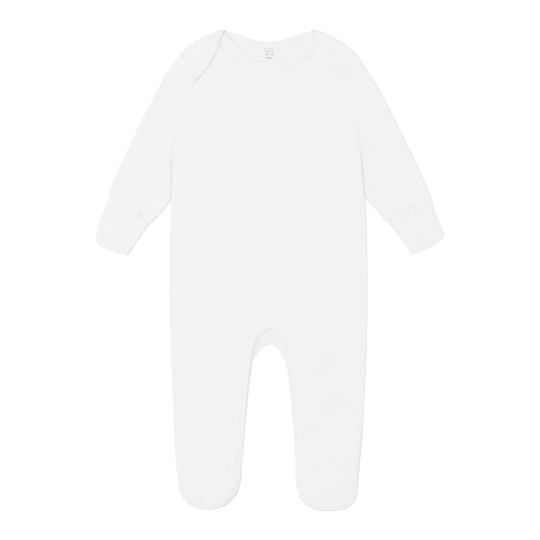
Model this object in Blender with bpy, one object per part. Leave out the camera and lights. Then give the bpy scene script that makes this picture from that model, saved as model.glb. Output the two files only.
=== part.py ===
"""Footed baby sleepsuit with an envelope neck, laid out flat, face up.

Frame: metres. +Y points from the feet to the neck, +X to the wearer's left, +Z up from the table.
The origin is the centre of the footprint, on the table. Tables below are in millimetres:
"out" is the distance from the centre line, "down" the distance below the shoulder point.
Every piece is a sheet of cloth: its middle surface is worked out on a grid, and a Solidify
modifier gives it the wall.
"""

import math

import bmesh
import bpy
import numpy as np

# ---------------------------------------------------------------- driving sizes, millimetres
CLOTH = 1.2  # wall of one layer
GAP = 0.3  # between layers, and at seams
LAYER = CLOTH + GAP  # from one layer's middle to the next one's
BACK_Z = CLOTH / 2  # middle of the layer that lies on the table
FRONT_Z = BACK_Z + LAYER
FLAP_Z = FRONT_Z + LAYER
SIDE_EDGE_Z = 1.8  # where the front's side edge meets the back
RIDGE = 0.8  # the front stands this much higher along seams and folds
RIDGE_NEAR, RIDGE_FAR = 5.0, 18.0  # where the ridge starts to fall, and where it has gone
FOLD_SEGMENTS = 4  # of a half-round fold
BEND_SEGMENTS = 3  # of the quarter-round bend at a side seam
TOE_SEGMENTS = 14  # round the toe of a foot

FRONT_NECK_BAND = 14.5  # widths of the sewn bands
BACK_NECK_BAND = 10.0
INNER_LEG_BAND = 24.0
HEEL_DOWN = 508.0  # seam of the sole and the back of the leg
INSTEP_DOWN = 532.8  # level of the two ends of the instep seam
INSTEP_RISE = 19.5
ANKLE_START, ANKLE_END = 455.0, 512.0  # the front of the leg rises to the foot between these
FOOT_Z = 5.0  # middle of the foot's upper where it meets the sole
FOOT_DOME = 0.5
SOLE_LAP = 5.0  # the sole comes up over the edge of the foot this far

WHITE = (0.90, 0.895, 0.88, 1.0)
RIB_WHITE = (0.89, 0.885, 0.87, 1.0)

# ---------------------------------------------------------------- outlines, (out, down)
FRONT_NECKLINE = [(0.0, 39.5), (17.7, 36.0), (31.0, 25.4), (44.3, 11.0), (50.3, 2.8)]
BACK_NECKLINE = [(0.0, 14.7), (16.0, 12.6), (28.0, 9.0), (40.0, 4.6), (49.0, 2.6), (52.5, 2.4)]
FLAP_EDGE = [(52.5, 2.4), (56.0, 12.4), (60.8, 26.6), (67.9, 39.5), (74.9, 50.2), (86.7, 62.0)]
SHOULDER = [(52.5, 0.0), (68.0, 5.2), (90.0, 17.1), (103.0, 28.3)]
FLAP_BAND_END = (92.0, 49.5)  # where the flap's band seam runs into the armhole

# One entry for each of the wearer's sides: the sign of its X, then its outlines.
OUTLINES = {
    "right": {
        "sign": -1,
        "armhole": [
            (103.0, 28.3), (95.0, 43.0), (86.7, 62.0), (90.3, 77.3), (97.4, 97.4),
            (102.1, 112.7), (109.2, 128.0), (113.7, 142.2),
        ],
        "sleeve_outer": [
            (103.0, 28.3), (118.6, 50.2), (131.0, 71.5), (148.8, 106.8), (166.0, 142.2),
            (182.5, 177.6), (188.8, 198.8), (192.9, 210.6),
        ],
        "sleeve_inner": [(114.4, 142.2), (115.4, 172.0), (115.6, 198.8)],
        "underarm": [(115.6, 198.8), (118.6, 206.5), (129.6, 220.1), (139.2, 229.5)],
        "cuff_seam": [(192.9, 210.6), (175.2, 214.8), (155.2, 220.1), (139.2, 229.5)],
        "cuff_outer": [(192.9, 210.6), (196.8, 220.1), (201.7, 234.2), (203.9, 247.2)],
        "cuff_inner": [(139.2, 229.5), (148.3, 241.4), (157.6, 255.5), (165.8, 267.3)],
        "cuff_end": [(203.9, 247.2), (198.8, 255.5), (184.7, 262.0), (165.8, 267.3)],
        "side": [
            (113.7, 142.2), (114.8, 205.9), (116.5, 248.4), (117.2, 301.5), (116.5, 342.8),
            (114.6, 390.0), (111.4, 470.2), (109.2, 508.0), (106.2, 532.8),
        ],
        "crotch": [(-1.8, 372.3), (6.5, 375.8), (12.5, 382.9), (16.6, 388.5), (18.4, 394.7)],
        "inner_leg": [
            (18.4, 394.7), (21.4, 413.6), (26.3, 460.8), (29.6, 498.6), (32.6, 532.8),
        ],
        "front_crotch": [(-3.0, 353.4), (7.7, 358.6), (14.8, 367.6), (19.5, 387.6), (21.8, 401.8)],
        "front_inner_leg": [
            (21.8, 401.8), (25.6, 432.5), (27.7, 460.8), (31.0, 498.6), (33.4, 532.8),
        ],
        "toe": {"centre": 69.4, "half_width": 36.8, "depth": 33.6, "outer": 2.2, "inner": 2.0},
    },
    "left": {
        "sign": 1,
        "armhole": [
            (103.0, 28.3), (92.6, 45.4), (85.6, 62.0), (81.4, 78.5), (85.6, 89.6),
            (98.0, 105.6), (106.4, 118.0), (108.8, 142.2),
        ],
        "sleeve_outer": [
            (103.0, 28.3), (117.9, 50.2), (131.1, 71.5), (149.6, 106.8), (167.1, 142.2),
            (183.4, 177.6), (189.6, 192.0), (193.2, 203.0),
        ],
        "sleeve_inner": [(109.6, 142.2), (112.0, 172.0), (115.2, 198.8)],
        "underarm": [(115.2, 198.8), (121.4, 206.2), (132.9, 220.1), (140.4, 228.3)],
        "cuff_seam": [(193.2, 203.0), (178.8, 206.5), (158.0, 214.6), (140.4, 228.3)],
        "cuff_outer": [(193.2, 203.0), (195.3, 213.0), (201.1, 227.2), (207.9, 243.7)],
        "cuff_inner": [(140.4, 228.3), (152.1, 241.3), (161.5, 255.5), (169.3, 266.7)],
        "cuff_end": [(207.9, 243.7), (202.8, 249.4), (187.0, 259.3), (169.3, 266.7)],
        "side": [
            (108.8, 142.2), (114.4, 198.8), (116.3, 248.4), (116.9, 301.5), (116.7, 342.8),
            (115.4, 390.0), (111.6, 470.2), (108.3, 508.0), (106.1, 532.8),
        ],
        "crotch": [(1.8, 372.3), (9.6, 375.8), (14.8, 382.9), (18.2, 390.0), (19.6, 394.7)],
        "inner_leg": [
            (19.6, 394.7), (23.8, 413.6), (28.8, 460.8), (31.5, 498.6), (32.8, 532.8),
        ],
        "front_crotch": [(3.0, 353.4), (13.5, 358.6), (19.5, 366.4), (23.4, 380.0), (24.8, 401.8)],
        "front_inner_leg": [
            (24.8, 401.8), (27.7, 432.5), (30.2, 460.8), (32.9, 498.6), (33.8, 532.8),
        ],
        "toe": {"centre": 69.4, "half_width": 36.6, "depth": 35.4, "outer": 3.0, "inner": 2.3},
    },
}


# ---------------------------------------------------------------- curves in the plan
def resample(line, count):
    """The same polyline with count points, evenly spaced by length."""
    steps = np.linalg.norm(np.diff(line, axis=0), axis=1)
    length = np.concatenate([[0.0], np.cumsum(steps)])
    at = np.linspace(0.0, length[-1], count)
    return np.stack([np.interp(at, length, line[:, i]) for i in range(2)], axis=1)


def smooth_line(points, count=61):
    """A Catmull-Rom curve through the points; two points give a straight line."""
    p = np.asarray(points, float)
    if len(p) == 2:
        return resample(p, count)
    ends = np.vstack([2 * p[0] - p[1], p, 2 * p[-1] - p[-2]])
    t = np.linspace(0.0, 1.0, 17)[:-1, None]
    spans = []
    for a, b, c, d in zip(ends[:-3], ends[1:-2], ends[2:-1], ends[3:]):
        spans.append(
            0.5 * (2 * b + (c - a) * t + (2 * a - 5 * b + 4 * c - d) * t**2
                   + (3 * b - a - 3 * c + d) * t**3)
        )
    return resample(np.vstack(spans + [p[-1:]]), count)


def shorten(line, head=0.0, tail=0.0):
    """The polyline without its first head and last tail millimetres."""
    steps = np.linalg.norm(np.diff(line, axis=0), axis=1)
    length = np.concatenate([[0.0], np.cumsum(steps)])
    at = np.linspace(head, length[-1] - tail, len(line))
    return np.stack([np.interp(at, length, line[:, i]) for i in range(2)], axis=1)


def until(line, down):
    """The polyline down to exactly this level."""
    end = np.interp(down, line[:, 1], line[:, 0])
    return np.vstack([line[line[:, 1] < down - 1.0], [[end, down]]])


def path(*parts):
    """A curve as a function of s from 0 to 1. Each part is (points or a curve, s at its end)."""
    start, at, line = 0.0, [], []
    for points, end in parts:
        piece = points(np.linspace(0, 1, 201)) if callable(points) else smooth_line(points)
        at.append(np.linspace(start, end, len(piece)))
        line.append(piece)
        start = end
    at, line = np.concatenate(at), np.vstack(line)
    return lambda s: np.stack([np.interp(s, at, line[:, 0]), np.interp(s, at, line[:, 1])], -1)


def offset(line, distance):
    """The polyline moved sideways, to the left of its direction in (out, down)."""
    tangent = np.gradient(line, axis=0)
    tangent /= np.linalg.norm(tangent, axis=1)[:, None]
    return line + distance * np.stack([tangent[:, 1], -tangent[:, 0]], axis=1)


def coons(u, v, inner, outer, top, bottom, reach=1.0):
    """A point inside four edge curves: the straight line from inner to outer at v, plus what the
    top and bottom edges depart from theirs, which fades out over reach."""
    u_, v_ = u[..., None], v[..., None]
    across = (1 - u_) * inner(v) + u_ * outer(v)
    at_top = top(u) - (1 - u_) * top(0.0) - u_ * top(1.0)
    at_bottom = bottom(u) - (1 - u_) * bottom(0.0) - u_ * bottom(1.0)
    fade_top = np.clip(1 - v_ / reach, 0.0, 1.0)
    fade_bottom = np.clip(1 - (1 - v_) / reach, 0.0, 1.0)
    return across + at_top * fade_top + at_bottom * fade_bottom


def smoothstep(x):
    """0 below 0, 1 above 1, and a soft S between."""
    x = np.clip(x, 0.0, 1.0)
    return x * x * (3 - 2 * x)


def near(distance, full, gone):
    """1 up to the distance full, falling softly to 0 at gone."""
    return 1 - smoothstep((distance - full) / (gone - full))


def distance_to(points, line):
    """The plan distance from each point to a curve."""
    apart = points[..., None, :] - line
    return np.sqrt((apart**2).sum(-1)).min(-1)


def superellipse(toe, half_width, depth, angles):
    """The front of a foot: angle 0 is its outer side, pi / 2 the toe, pi its inner side."""
    power = np.where(angles < math.pi / 2, toe["outer"], toe["inner"])
    c, s = np.cos(angles), np.sin(angles)
    out = toe["centre"] + half_width * np.sign(c) * np.abs(c) ** (2 / power)
    return np.stack([out, INSTEP_DOWN + depth * np.abs(s) ** (2 / power)], axis=-1)


# ---------------------------------------------------------------- meshes
class Sheet:
    """Grids of points, in millimetres, sewn into one mesh where their points meet."""

    def __init__(self):
        self.points = []
        self.faces = []

    def grid(self, plan, z, sign, closed=False):
        """Adds a grid of plan points and heights; closed joins its last column to its first."""
        rows, columns = z.shape
        first = sum(len(p) for p in self.points)
        xyz = np.concatenate([plan[..., :1] * sign, -plan[..., 1:], z[..., None]], axis=-1)
        self.points.append(xyz.reshape(-1, 3))
        index = first + np.arange(rows * columns).reshape(rows, columns)
        if closed:
            index = np.concatenate([index, index[:, :1]], axis=1)
        quads = np.stack([index[:-1, :-1], index[:-1, 1:], index[1:, 1:], index[1:, :-1]], -1)
        if sign > 0:
            quads = quads[..., ::-1]
        self.faces += quads.reshape(-1, 4).tolist()

    def build(self, name, colour, wall=CLOTH):
        """Makes the object: the middle surface with its doubles merged, and a wall on it."""
        mesh = bpy.data.meshes.new(name)
        mesh.from_pydata((np.vstack(self.points) * 0.001).tolist(), [], self.faces)
        work = bmesh.new()
        work.from_mesh(mesh)
        bmesh.ops.remove_doubles(work, verts=work.verts, dist=0.00002)
        bmesh.ops.dissolve_degenerate(work, edges=work.edges, dist=0.00002)
        bmesh.ops.recalc_face_normals(work, faces=work.faces)
        work.to_mesh(mesh)
        work.free()
        body = bpy.data.objects.new(name, mesh)
        bpy.context.scene.collection.objects.link(body)
        solidify = body.modifiers.new("wall", "SOLIDIFY")
        solidify.thickness = wall * 0.001
        solidify.offset = 0.0
        body.data.materials.append(material(name, colour))
        return body


def material(name, colour):
    """Matt cotton of one colour."""
    made = bpy.data.materials.new(name)
    made.use_nodes = True
    shader = made.node_tree.nodes["Principled BSDF"]
    shader.inputs["Base Color"].default_value = colour
    shader.inputs["Roughness"].default_value = 0.9
    shader.inputs["Metallic"].default_value = 0.0
    made.diffuse_color = colour
    return made


# ---------------------------------------------------------------- shared shapes
def leg_profile(down):
    """How far the front of the leg has risen to the foot, 0 to 1."""
    return smoothstep((down - ANKLE_START) / (ANKLE_END - ANKLE_START))


def instep(outline, moved=0.0):
    """The seam across the foot, from its inner to its outer end: a half ellipse, moved up."""
    toe = outline["toe"]
    angles = np.linspace(math.pi, 0.0, 41)
    out = toe["centre"] + (toe["half_width"] - SOLE_LAP + moved) * np.cos(angles)
    down = INSTEP_DOWN - moved - INSTEP_RISE * np.sin(angles)
    return np.stack([out, down], axis=-1)


def shoulder_fold():
    """The line along which the back folds over at the shoulder, inside the outline, in two
    parts: across the neck band, and from there to the armhole."""
    bulge = (FLAP_Z - BACK_Z) / 2 + CLOTH / 2
    fold = resample(offset(smooth_line(SHOULDER), -bulge), 241)
    from_neck = np.linalg.norm(fold - fold[0], axis=1)
    crossing = int(np.argmin(np.abs(from_neck - BACK_NECK_BAND - GAP)))
    band_part, back_part = resample(fold[: crossing + 1], 41), resample(fold[crossing:], 81)
    return shorten(band_part, tail=1.5 * GAP), back_part


def back_neck_seam(moved):
    """The seam of the back's neck band from the centre to the shoulder fold, moved to the neck."""
    band_part, back_part = shoulder_fold()
    seam = offset(smooth_line(BACK_NECKLINE), -(BACK_NECK_BAND + GAP))
    seam = smooth_line(np.vstack([seam[seam[:, 0] < back_part[0, 0] - 2.0][::8], back_part[:1]]))
    if moved:
        seam = offset(seam, moved)
        seam[-1] = band_part[-1]
    seam[0, 0] = 0.0
    return path((seam, 1.0))


def flap_seam(moved):
    """The seam of the flap's band from the shoulder fold to the armhole, moved to the edge."""
    band_part, back_part = shoulder_fold()
    seam = offset(smooth_line(FLAP_EDGE), BACK_NECK_BAND + GAP)
    seam = seam[(seam[:, 1] > back_part[0, 1] + 4.0) & (seam[:, 1] < FLAP_BAND_END[1] - 8.0)]
    seam = smooth_line(np.vstack([back_part[:1], seam[::6], [FLAP_BAND_END]]))
    if moved:
        seam = offset(seam, -moved)
        seam[0] = band_part[-1]
        seam[-1] = np.array(FLAP_BAND_END) + np.array([-0.5, 0.9]) * moved
    return path((seam, 1.0))


def armhole_line(outline):
    """The armhole as a function of 0..1, from the shoulder fold to the armpit."""
    points = np.array(outline["armhole"])
    start = shoulder_fold()[1][-1]
    flap_end = points[2]
    return path(([start, FLAP_BAND_END], ARM_NODES[BAND_NODE]),
                ([FLAP_BAND_END, flap_end], ARM_NODES[FLAP_NODE]), (points[2:], 1.0))


def cuff_seam(outline, moved):
    """The seam between sleeve and cuff at the cloth's middle, moved towards the hand."""
    return offset(shorten(smooth_line(outline["cuff_seam"]), CLOTH / 2, CLOTH / 2), moved)


def steps_between(*stops):
    """Parameter values: each stop is (value, number of even steps to it from the one before)."""
    values, last = [], 0.0
    for value, steps in stops:
        values.append(np.linspace(last, value, steps + 1)[1:])
        last = value
    return np.concatenate(values)


# ---------------------------------------------------------------- body
# Columns run from the centre line to the side, rows from the neck to the ankle. Pieces that meet
# at a seam use the same stations on it.
COLUMNS = np.array([0.0, 0.06, 0.15, 0.25, 0.36, 0.5, 0.65, 0.84, 0.94])
NECK_SHARE = 0.5  # columns up to here end at the neck, the rest at the shoulder
NECK_STATIONS = COLUMNS[:6] / NECK_SHARE
SHOULDER_STATIONS = (np.append(COLUMNS[5:], 1.0) - NECK_SHARE) / (1 - NECK_SHARE)
ARM_NODES = np.array([0.0, 0.1, 0.195, 0.25, 0.31, 0.375, 0.44, 0.58, 0.72, 0.86, 1.0])
BAND_NODE, FLAP_NODE, DEEPEST_NODE = 2, 4, 6  # where the flap's band starts and ends, and deepest
ARM_AT, CROTCH_AT, LEG_AT = 0.22, 0.62, 0.72  # rows at the armpit, crotch and top of the leg
BODY_ROWS = np.concatenate(
    [ARM_NODES * ARM_AT, ARM_AT + steps_between((0.36, 3), (CROTCH_AT - ARM_AT, 1)),
     CROTCH_AT + steps_between((LEG_AT - CROTCH_AT, 4)), LEG_AT + steps_between((1 - LEG_AT, 5))])
ARMPIT_AT = 0.34  # row of the sleeve at the armpit
BODY_REACH = 0.45  # the neck's and the ankles' shape fades out over this share of the rows


def front_panel():
    """Body and both legs in one piece, from the neck band's seam to the instep seams."""
    sheet = Sheet()
    bands = np.vstack([smooth_line(o["crotch"] + o["inner_leg"][1:]) * (o["sign"], 1)
                       for o in OUTLINES.values()])
    neck = offset(smooth_line(FRONT_NECKLINE), -(FRONT_NECK_BAND + GAP))
    neck[0, 0] = 0.0
    fold = np.vstack(shoulder_fold())
    fold = fold[fold[:, 0] > neck[-1, 0] + 3.0]
    for outline in OUTLINES.values():
        sign = outline["sign"]
        top = path((neck, NECK_SHARE), (np.vstack([neck[-1:], fold[::12], fold[-1:]]), 1.0))
        leg = shorten(smooth_line(outline["front_inner_leg"]), tail=2 * GAP)
        inner = path(([neck[0], outline["front_crotch"][0]], CROTCH_AT),
                     (outline["front_crotch"], LEG_AT), (leg[::4], 1.0))
        edge = shorten(offset(smooth_line(outline["side"]), -CLOTH / 2), tail=2 * GAP)
        armhole = armhole_line(outline)
        outer = path((armhole, ARM_AT), (np.vstack([armhole(1.0), edge[3::3]]), 1.0))
        arch = instep(outline, 2 * GAP)
        bottom = path(([inner(1.0), arch[0]], COLUMNS[1]), (arch, COLUMNS[-1]),
                      ([arch[-1], outer(1.0)], 1.0))

        v = BODY_ROWS[:, None]
        width = np.linalg.norm(outer(v) - inner(v), axis=-1)
        ends = leg_profile(outer(v)[..., 1])
        below_arm = smoothstep((v - ARM_AT) / 0.03)
        level_at_side = FRONT_Z + RIDGE + (FOOT_Z - FRONT_Z - RIDGE) * ends
        bend = np.maximum((level_at_side - FRONT_Z + CLOTH / 2) * below_arm, CLOTH) / width
        turn = np.linspace(0.0, math.pi / 2, BEND_SEGMENTS + 1)
        u = np.concatenate([COLUMNS + 0 * v, 1 - bend * (1 - np.sin(turn))], 1)
        v = v + 0 * u
        plan = coons(u, v, inner, outer, top, bottom, BODY_REACH)

        over_band = near(distance_to(plan * (sign, 1.0), bands), INNER_LEG_BAND + 10, 58.0)
        level = FRONT_Z + LAYER * over_band
        level = level + RIDGE * near((1 - u) * width, RIDGE_NEAR, RIDGE_FAR) * below_arm
        lifted = level + (FOOT_Z - level) * leg_profile(plan[..., 1])
        z = lifted + (level - lifted) * near(u * width, 0.0, 9.0) * (v > LEG_AT) * (v < 0.999)
        fall = np.concatenate([0 * COLUMNS, 1 - np.cos(turn)])
        z = z - fall * (z - SIDE_EDGE_Z) * below_arm
        sheet.grid(plan, z, sign)
    return sheet.build("front_panel", WHITE)


def back_panel():
    """The layer on the table: body, both legs, and the shoulder flaps that fold to the front."""
    sheet = Sheet()
    neck_seam, flap_end = back_neck_seam(0.0), flap_seam(0.0)
    fold = shoulder_fold()[1]
    along, ahead = path((fold, 1.0)), path((offset(fold, 1.0), 1.0))
    outward = ahead(SHOULDER_STATIONS) - along(SHOULDER_STATIONS)
    radius = (FLAP_Z - BACK_Z) / 2
    turn = np.linspace(0.0, math.pi, FOLD_SEGMENTS + 1)
    fold_plan = along(SHOULDER_STATIONS) + outward * (radius * np.sin(turn))[:, None, None]
    fold_z = BACK_Z + radius * (1 - np.cos(turn))[:, None] + 0 * SHOULDER_STATIONS
    for outline in OUTLINES.values():
        sign = outline["sign"]
        top = path((neck_seam, NECK_SHARE), (fold, 1.0))
        leg = resample(until(smooth_line(outline["inner_leg"]), HEEL_DOWN), 61)
        side = resample(until(smooth_line(outline["side"]), HEEL_DOWN), 61)
        inner = path(([neck_seam(0.0), outline["crotch"][0]], CROTCH_AT),
                     (outline["crotch"], LEG_AT), (leg[::4], 1.0))
        armhole = armhole_line(outline)
        outer = path((armhole, ARM_AT), (side[::4], 1.0))
        bottom = path(([inner(1.0), outer(1.0)], 1.0))
        u, v = np.meshgrid(np.append(COLUMNS, 1.0), BODY_ROWS)
        plan = coons(u, v, inner, outer, top, bottom, BODY_REACH)
        sheet.grid(plan, BACK_Z + 0 * u, sign)

        sheet.grid(fold_plan, fold_z, sign)
        corner = path(([fold[0], fold[0]], 1.0))
        down_arm = path((armhole(ARM_NODES[: BAND_NODE + 1]), 1.0))
        q, w = np.meshgrid(SHOULDER_STATIONS, [0.0, 0.5, 1.0])
        sheet.grid(coons(q, w, corner, down_arm, along, flap_end), FLAP_Z + 0 * q, sign)
    return sheet.build("back_panel", WHITE)


def ribbon(edge, seam, stations, steps=3):
    """Plan points across a band, from its edge to its seam, at stations along both."""
    across = np.linspace(0.0, 1.0, steps + 1)[None, :, None]
    return edge(stations)[:, None] * (1 - across) + seam(stations)[:, None] * across


def neck_band_front():
    """The folded band along the front of the neck, from shoulder to shoulder."""
    sheet = Sheet()
    edge = smooth_line(FRONT_NECKLINE)
    seam = offset(edge, -FRONT_NECK_BAND)
    seam[0, 0] = 0.0
    plan = ribbon(path((edge, 1.0)), path((seam, 1.0)), NECK_STATIONS)
    for outline in OUTLINES.values():
        sheet.grid(plan, FRONT_Z + 0 * plan[..., 0], outline["sign"])
    return sheet.build("neck_band_front", RIB_WHITE)


def neck_band_back():
    """The folded band round the back of the neck, over both shoulders and down the flaps."""
    fold = shoulder_fold()[0]
    radius = (FLAP_Z - BACK_Z) / 2
    neck_edge = smooth_line(BACK_NECKLINE)[:-3]
    neck_edge = path((np.vstack([neck_edge[::8], fold[:1]]), 1.0))
    flap_edge = smooth_line(FLAP_EDGE)[4:]
    neck = ribbon(neck_edge, back_neck_seam(GAP), NECK_STATIONS)
    along, ahead = path((fold, 1.0)), path((offset(fold, 1.0), 1.0))
    across = np.linspace(0.0, 1.0, neck.shape[1])
    neck[-1] = along(across)
    turn = np.linspace(0.0, math.pi, FOLD_SEGMENTS + 1)
    outward = ahead(across) - along(across)
    fold_plan = along(across) + outward * (radius * np.sin(turn))[:, None, None]
    fold_z = BACK_Z + radius * (1 - np.cos(turn))[:, None] + 0 * across
    sheet = Sheet()
    for outline in OUTLINES.values():
        sign = outline["sign"]
        sheet.grid(neck, BACK_Z + 0 * neck[..., 0], sign)
        sheet.grid(fold_plan, fold_z, sign)
        end = armhole_line(outline)(ARM_NODES[FLAP_NODE])
        edge = path((np.vstack([fold[:1], flap_edge[4:-4:6], end[None]]), 1.0))
        flap = ribbon(edge, flap_seam(GAP), SHOULDER_STATIONS)
        flap[0] = along(across)
        sheet.grid(flap, FLAP_Z + 0 * flap[..., 0], sign)
    return sheet.build("neck_band_back", RIB_WHITE)


# ---------------------------------------------------------------- sleeves and cuffs
SLEEVE_STATIONS = ARM_NODES[: DEEPEST_NODE + 1] / ARM_NODES[DEEPEST_NODE]
ARMPIT_ROW = len(ARM_NODES) - DEEPEST_NODE - 1


def flat_tube(name, colour, sign, plan_of, width_of, top_z, rows, folded_from=0):
    """A tube of cloth pressed flat, its two layers joined by a half-round fold at each side.

    plan_of(u, v) gives the plan, width_of(v) its width, top_z(u, v) the middle of the top layer.
    Before row folded_from the inner side is open, because it is sewn to the body there.
    """
    v = rows[:, None]
    width = width_of(v)
    outer_radius, inner_radius = [(top_z(e + 0 * v, v) - BACK_Z) / 2 for e in (0.0, 1.0)]
    folded = np.arange(len(rows))[:, None] > folded_from - (folded_from == 0)
    outer_bend, inner_bend = outer_radius / width, inner_radius / width * folded
    turn = np.linspace(0.0, math.pi, FOLD_SEGMENTS + 1)
    flat = outer_bend + (1 - outer_bend - inner_bend) * SLEEVE_STATIONS
    sheet = Sheet()
    sheet.grid(plan_of(flat, v + 0 * flat), top_z(flat, v + 0 * flat), sign)
    sheet.grid(plan_of(flat, v + 0 * flat), BACK_Z + 0 * flat, sign)
    u = outer_bend * (1 - np.sin(turn))
    sheet.grid(plan_of(u, v + 0 * u), BACK_Z + outer_radius * (1 - np.cos(turn)), sign)
    u = 1 - inner_bend * (1 - np.sin(turn))
    plan = plan_of(u, v + 0 * u)[folded_from:]
    sheet.grid(plan, (BACK_Z + inner_radius * (1 - np.cos(turn)))[folded_from:], sign)
    return sheet.build(name, colour)


def sleeve(name, outline):
    """A sleeve from the armhole to the cuff's seam, lying beside the body."""
    armhole = armhole_line(outline)
    shift = (GAP + 0.15, 0.0)
    deepest = ARM_NODES[DEEPEST_NODE]
    outer_line = offset(smooth_line(outline["sleeve_outer"]), -CLOTH / 2)
    outer_line[0] = np.array(SHOULDER[-1]) + (0.1, CLOTH / 2)
    inner_line = smooth_line(outline["sleeve_inner"] + outline["underarm"][1:])
    inner_line = inner_line + (GAP + CLOTH / 2, 0.0)
    inner_line[0] = armhole(1.0) + shift + (CLOTH / 2, 0.0)
    seam = cuff_seam(outline, -GAP / 2)
    outer_line = np.vstack([outer_line[:-3], seam[:1]])
    inner_line = np.vstack([inner_line[:-3], seam[-1:]])

    def cap(s):
        return armhole(s * deepest) + shift

    def under(s):
        return armhole(deepest + s * (1 - deepest)) + shift

    outer, inner = path((outer_line, 1.0)), path((under, ARMPIT_AT), (inner_line, 1.0))
    bottom = path((seam[::6], 1.0))

    def width_of(v):
        return np.linalg.norm(outer(v) - inner(v), axis=-1)

    shoulder_bend = (FLAP_Z - BACK_Z) / 2 / float(width_of(0.0))
    top = path(([outer(0.0), cap(0.0)], shoulder_bend), (cap, 1.0))

    def plan_of(u, v):
        return coons(u, v, outer, inner, top, bottom)

    def top_z(u, v):
        ridge = near(u * width_of(v), RIDGE_NEAR, RIDGE_FAR)
        inside = near((1 - u) * width_of(v), RIDGE_NEAR, RIDGE_FAR)
        ridge = RIDGE * np.maximum(ridge, inside * smoothstep((v - ARMPIT_AT) / 0.1))
        down = plan_of(u, v + 0 * u)[..., 1]
        shoulder = near(down, 62.0, 82.0) * near(v, 0.0, 0.4)
        return FRONT_Z + ridge * (1 - shoulder) + LAYER * shoulder

    rows = np.concatenate(
        [(ARM_NODES[DEEPEST_NODE:] - ARM_NODES[DEEPEST_NODE]) / (1 - ARM_NODES[DEEPEST_NODE])
         * ARMPIT_AT, ARMPIT_AT + steps_between((0.04, 1), (0.35, 3), (1 - ARMPIT_AT, 3))])
    return flat_tube("sleeve_" + name, WHITE, outline["sign"], plan_of, width_of, top_z, rows,
                     folded_from=ARMPIT_ROW)


def cuff(name, outline):
    """The doubled cuff past the sleeve's seam, open at the hand."""
    seam, end = cuff_seam(outline, GAP / 2), smooth_line(outline["cuff_end"])
    outer = offset(smooth_line(outline["cuff_outer"]), -CLOTH / 2)
    inner = offset(smooth_line(outline["cuff_inner"]), CLOTH / 2)
    outer = path((np.vstack([seam[:1], outer[4::4]]), 1.0))
    inner = path((np.vstack([seam[-1:], inner[4::4]]), 1.0))
    top = path((seam[::6], 1.0))
    bottom = path((np.vstack([outer(1.0), end[6:-6:6], inner(1.0)]), 1.0))

    def plan_of(u, v):
        return coons(u, v, outer, inner, top, bottom)

    def width_of(v):
        return np.linalg.norm(outer(v) - inner(v), axis=-1)

    def top_z(u, v):
        return FRONT_Z + RIDGE + 0 * u * v

    rows = np.append(0.0, steps_between((1.0, 4)))
    return flat_tube("cuff_" + name, RIB_WHITE, outline["sign"], plan_of, width_of, top_z, rows)


# ---------------------------------------------------------------- inner leg and feet
def inner_leg_band():
    """The band of the opening from ankle to ankle, on the back's inner leg, under the front."""
    sheet = Sheet()
    for outline in OUTLINES.values():
        edge = path((outline["crotch"], 0.3), (outline["inner_leg"], 1.0))
        s = np.concatenate([np.linspace(0.0, 0.3, 7)[:-1], np.linspace(0.3, 0.9, 9)])
        line = edge(s)
        moved = offset(line, INNER_LEG_BAND)
        moved[0] = line[0] - np.array([0.0, INNER_LEG_BAND])
        across = np.linspace(0.0, 1.0, 4)[None, :, None]
        plan = line[:, None] * (1 - across) + moved[:, None] * across
        sheet.grid(plan, FRONT_Z + 0 * plan[..., 0], outline["sign"])
    return sheet.build("inner_leg_band", RIB_WHITE)


def disc(centre, boundary, rings):
    """Rings of plan points shrinking from a closed boundary to its centre."""
    scale = np.asarray(rings)[:, None, None]
    return centre + (boundary[None] - centre) * scale


def foot_upper(name, outline):
    """The top of the foot, from the instep seam to the seam with the sole."""
    toe = outline["toe"]
    inset = SOLE_LAP + GAP / 2
    angles = np.linspace(0.0, math.pi, TOE_SEGMENTS + 1)
    ring = superellipse(toe, toe["half_width"] - inset, toe["depth"] - inset, angles)
    arch = path((instep(outline) + (0.0, GAP / 2), 1.0))
    stations = (COLUMNS[1:] - COLUMNS[1]) / (COLUMNS[-1] - COLUMNS[1])
    arch = np.vstack([ring[-1], arch(stations)[1:-1]])
    boundary = np.vstack([ring[:-1], arch])
    centre = np.array([toe["centre"], INSTEP_DOWN + 6.0])
    rings = [1.0, 0.8, 0.45, 0.0]
    plan = disc(centre, boundary, rings)
    z = FOOT_Z + FOOT_DOME * (1 - np.asarray(rings)[:, None] ** 2) + 0 * plan[..., 0]
    sheet = Sheet()
    sheet.grid(plan, z, outline["sign"], closed=True)
    return sheet.build("foot_upper_" + name, WHITE)


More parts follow.
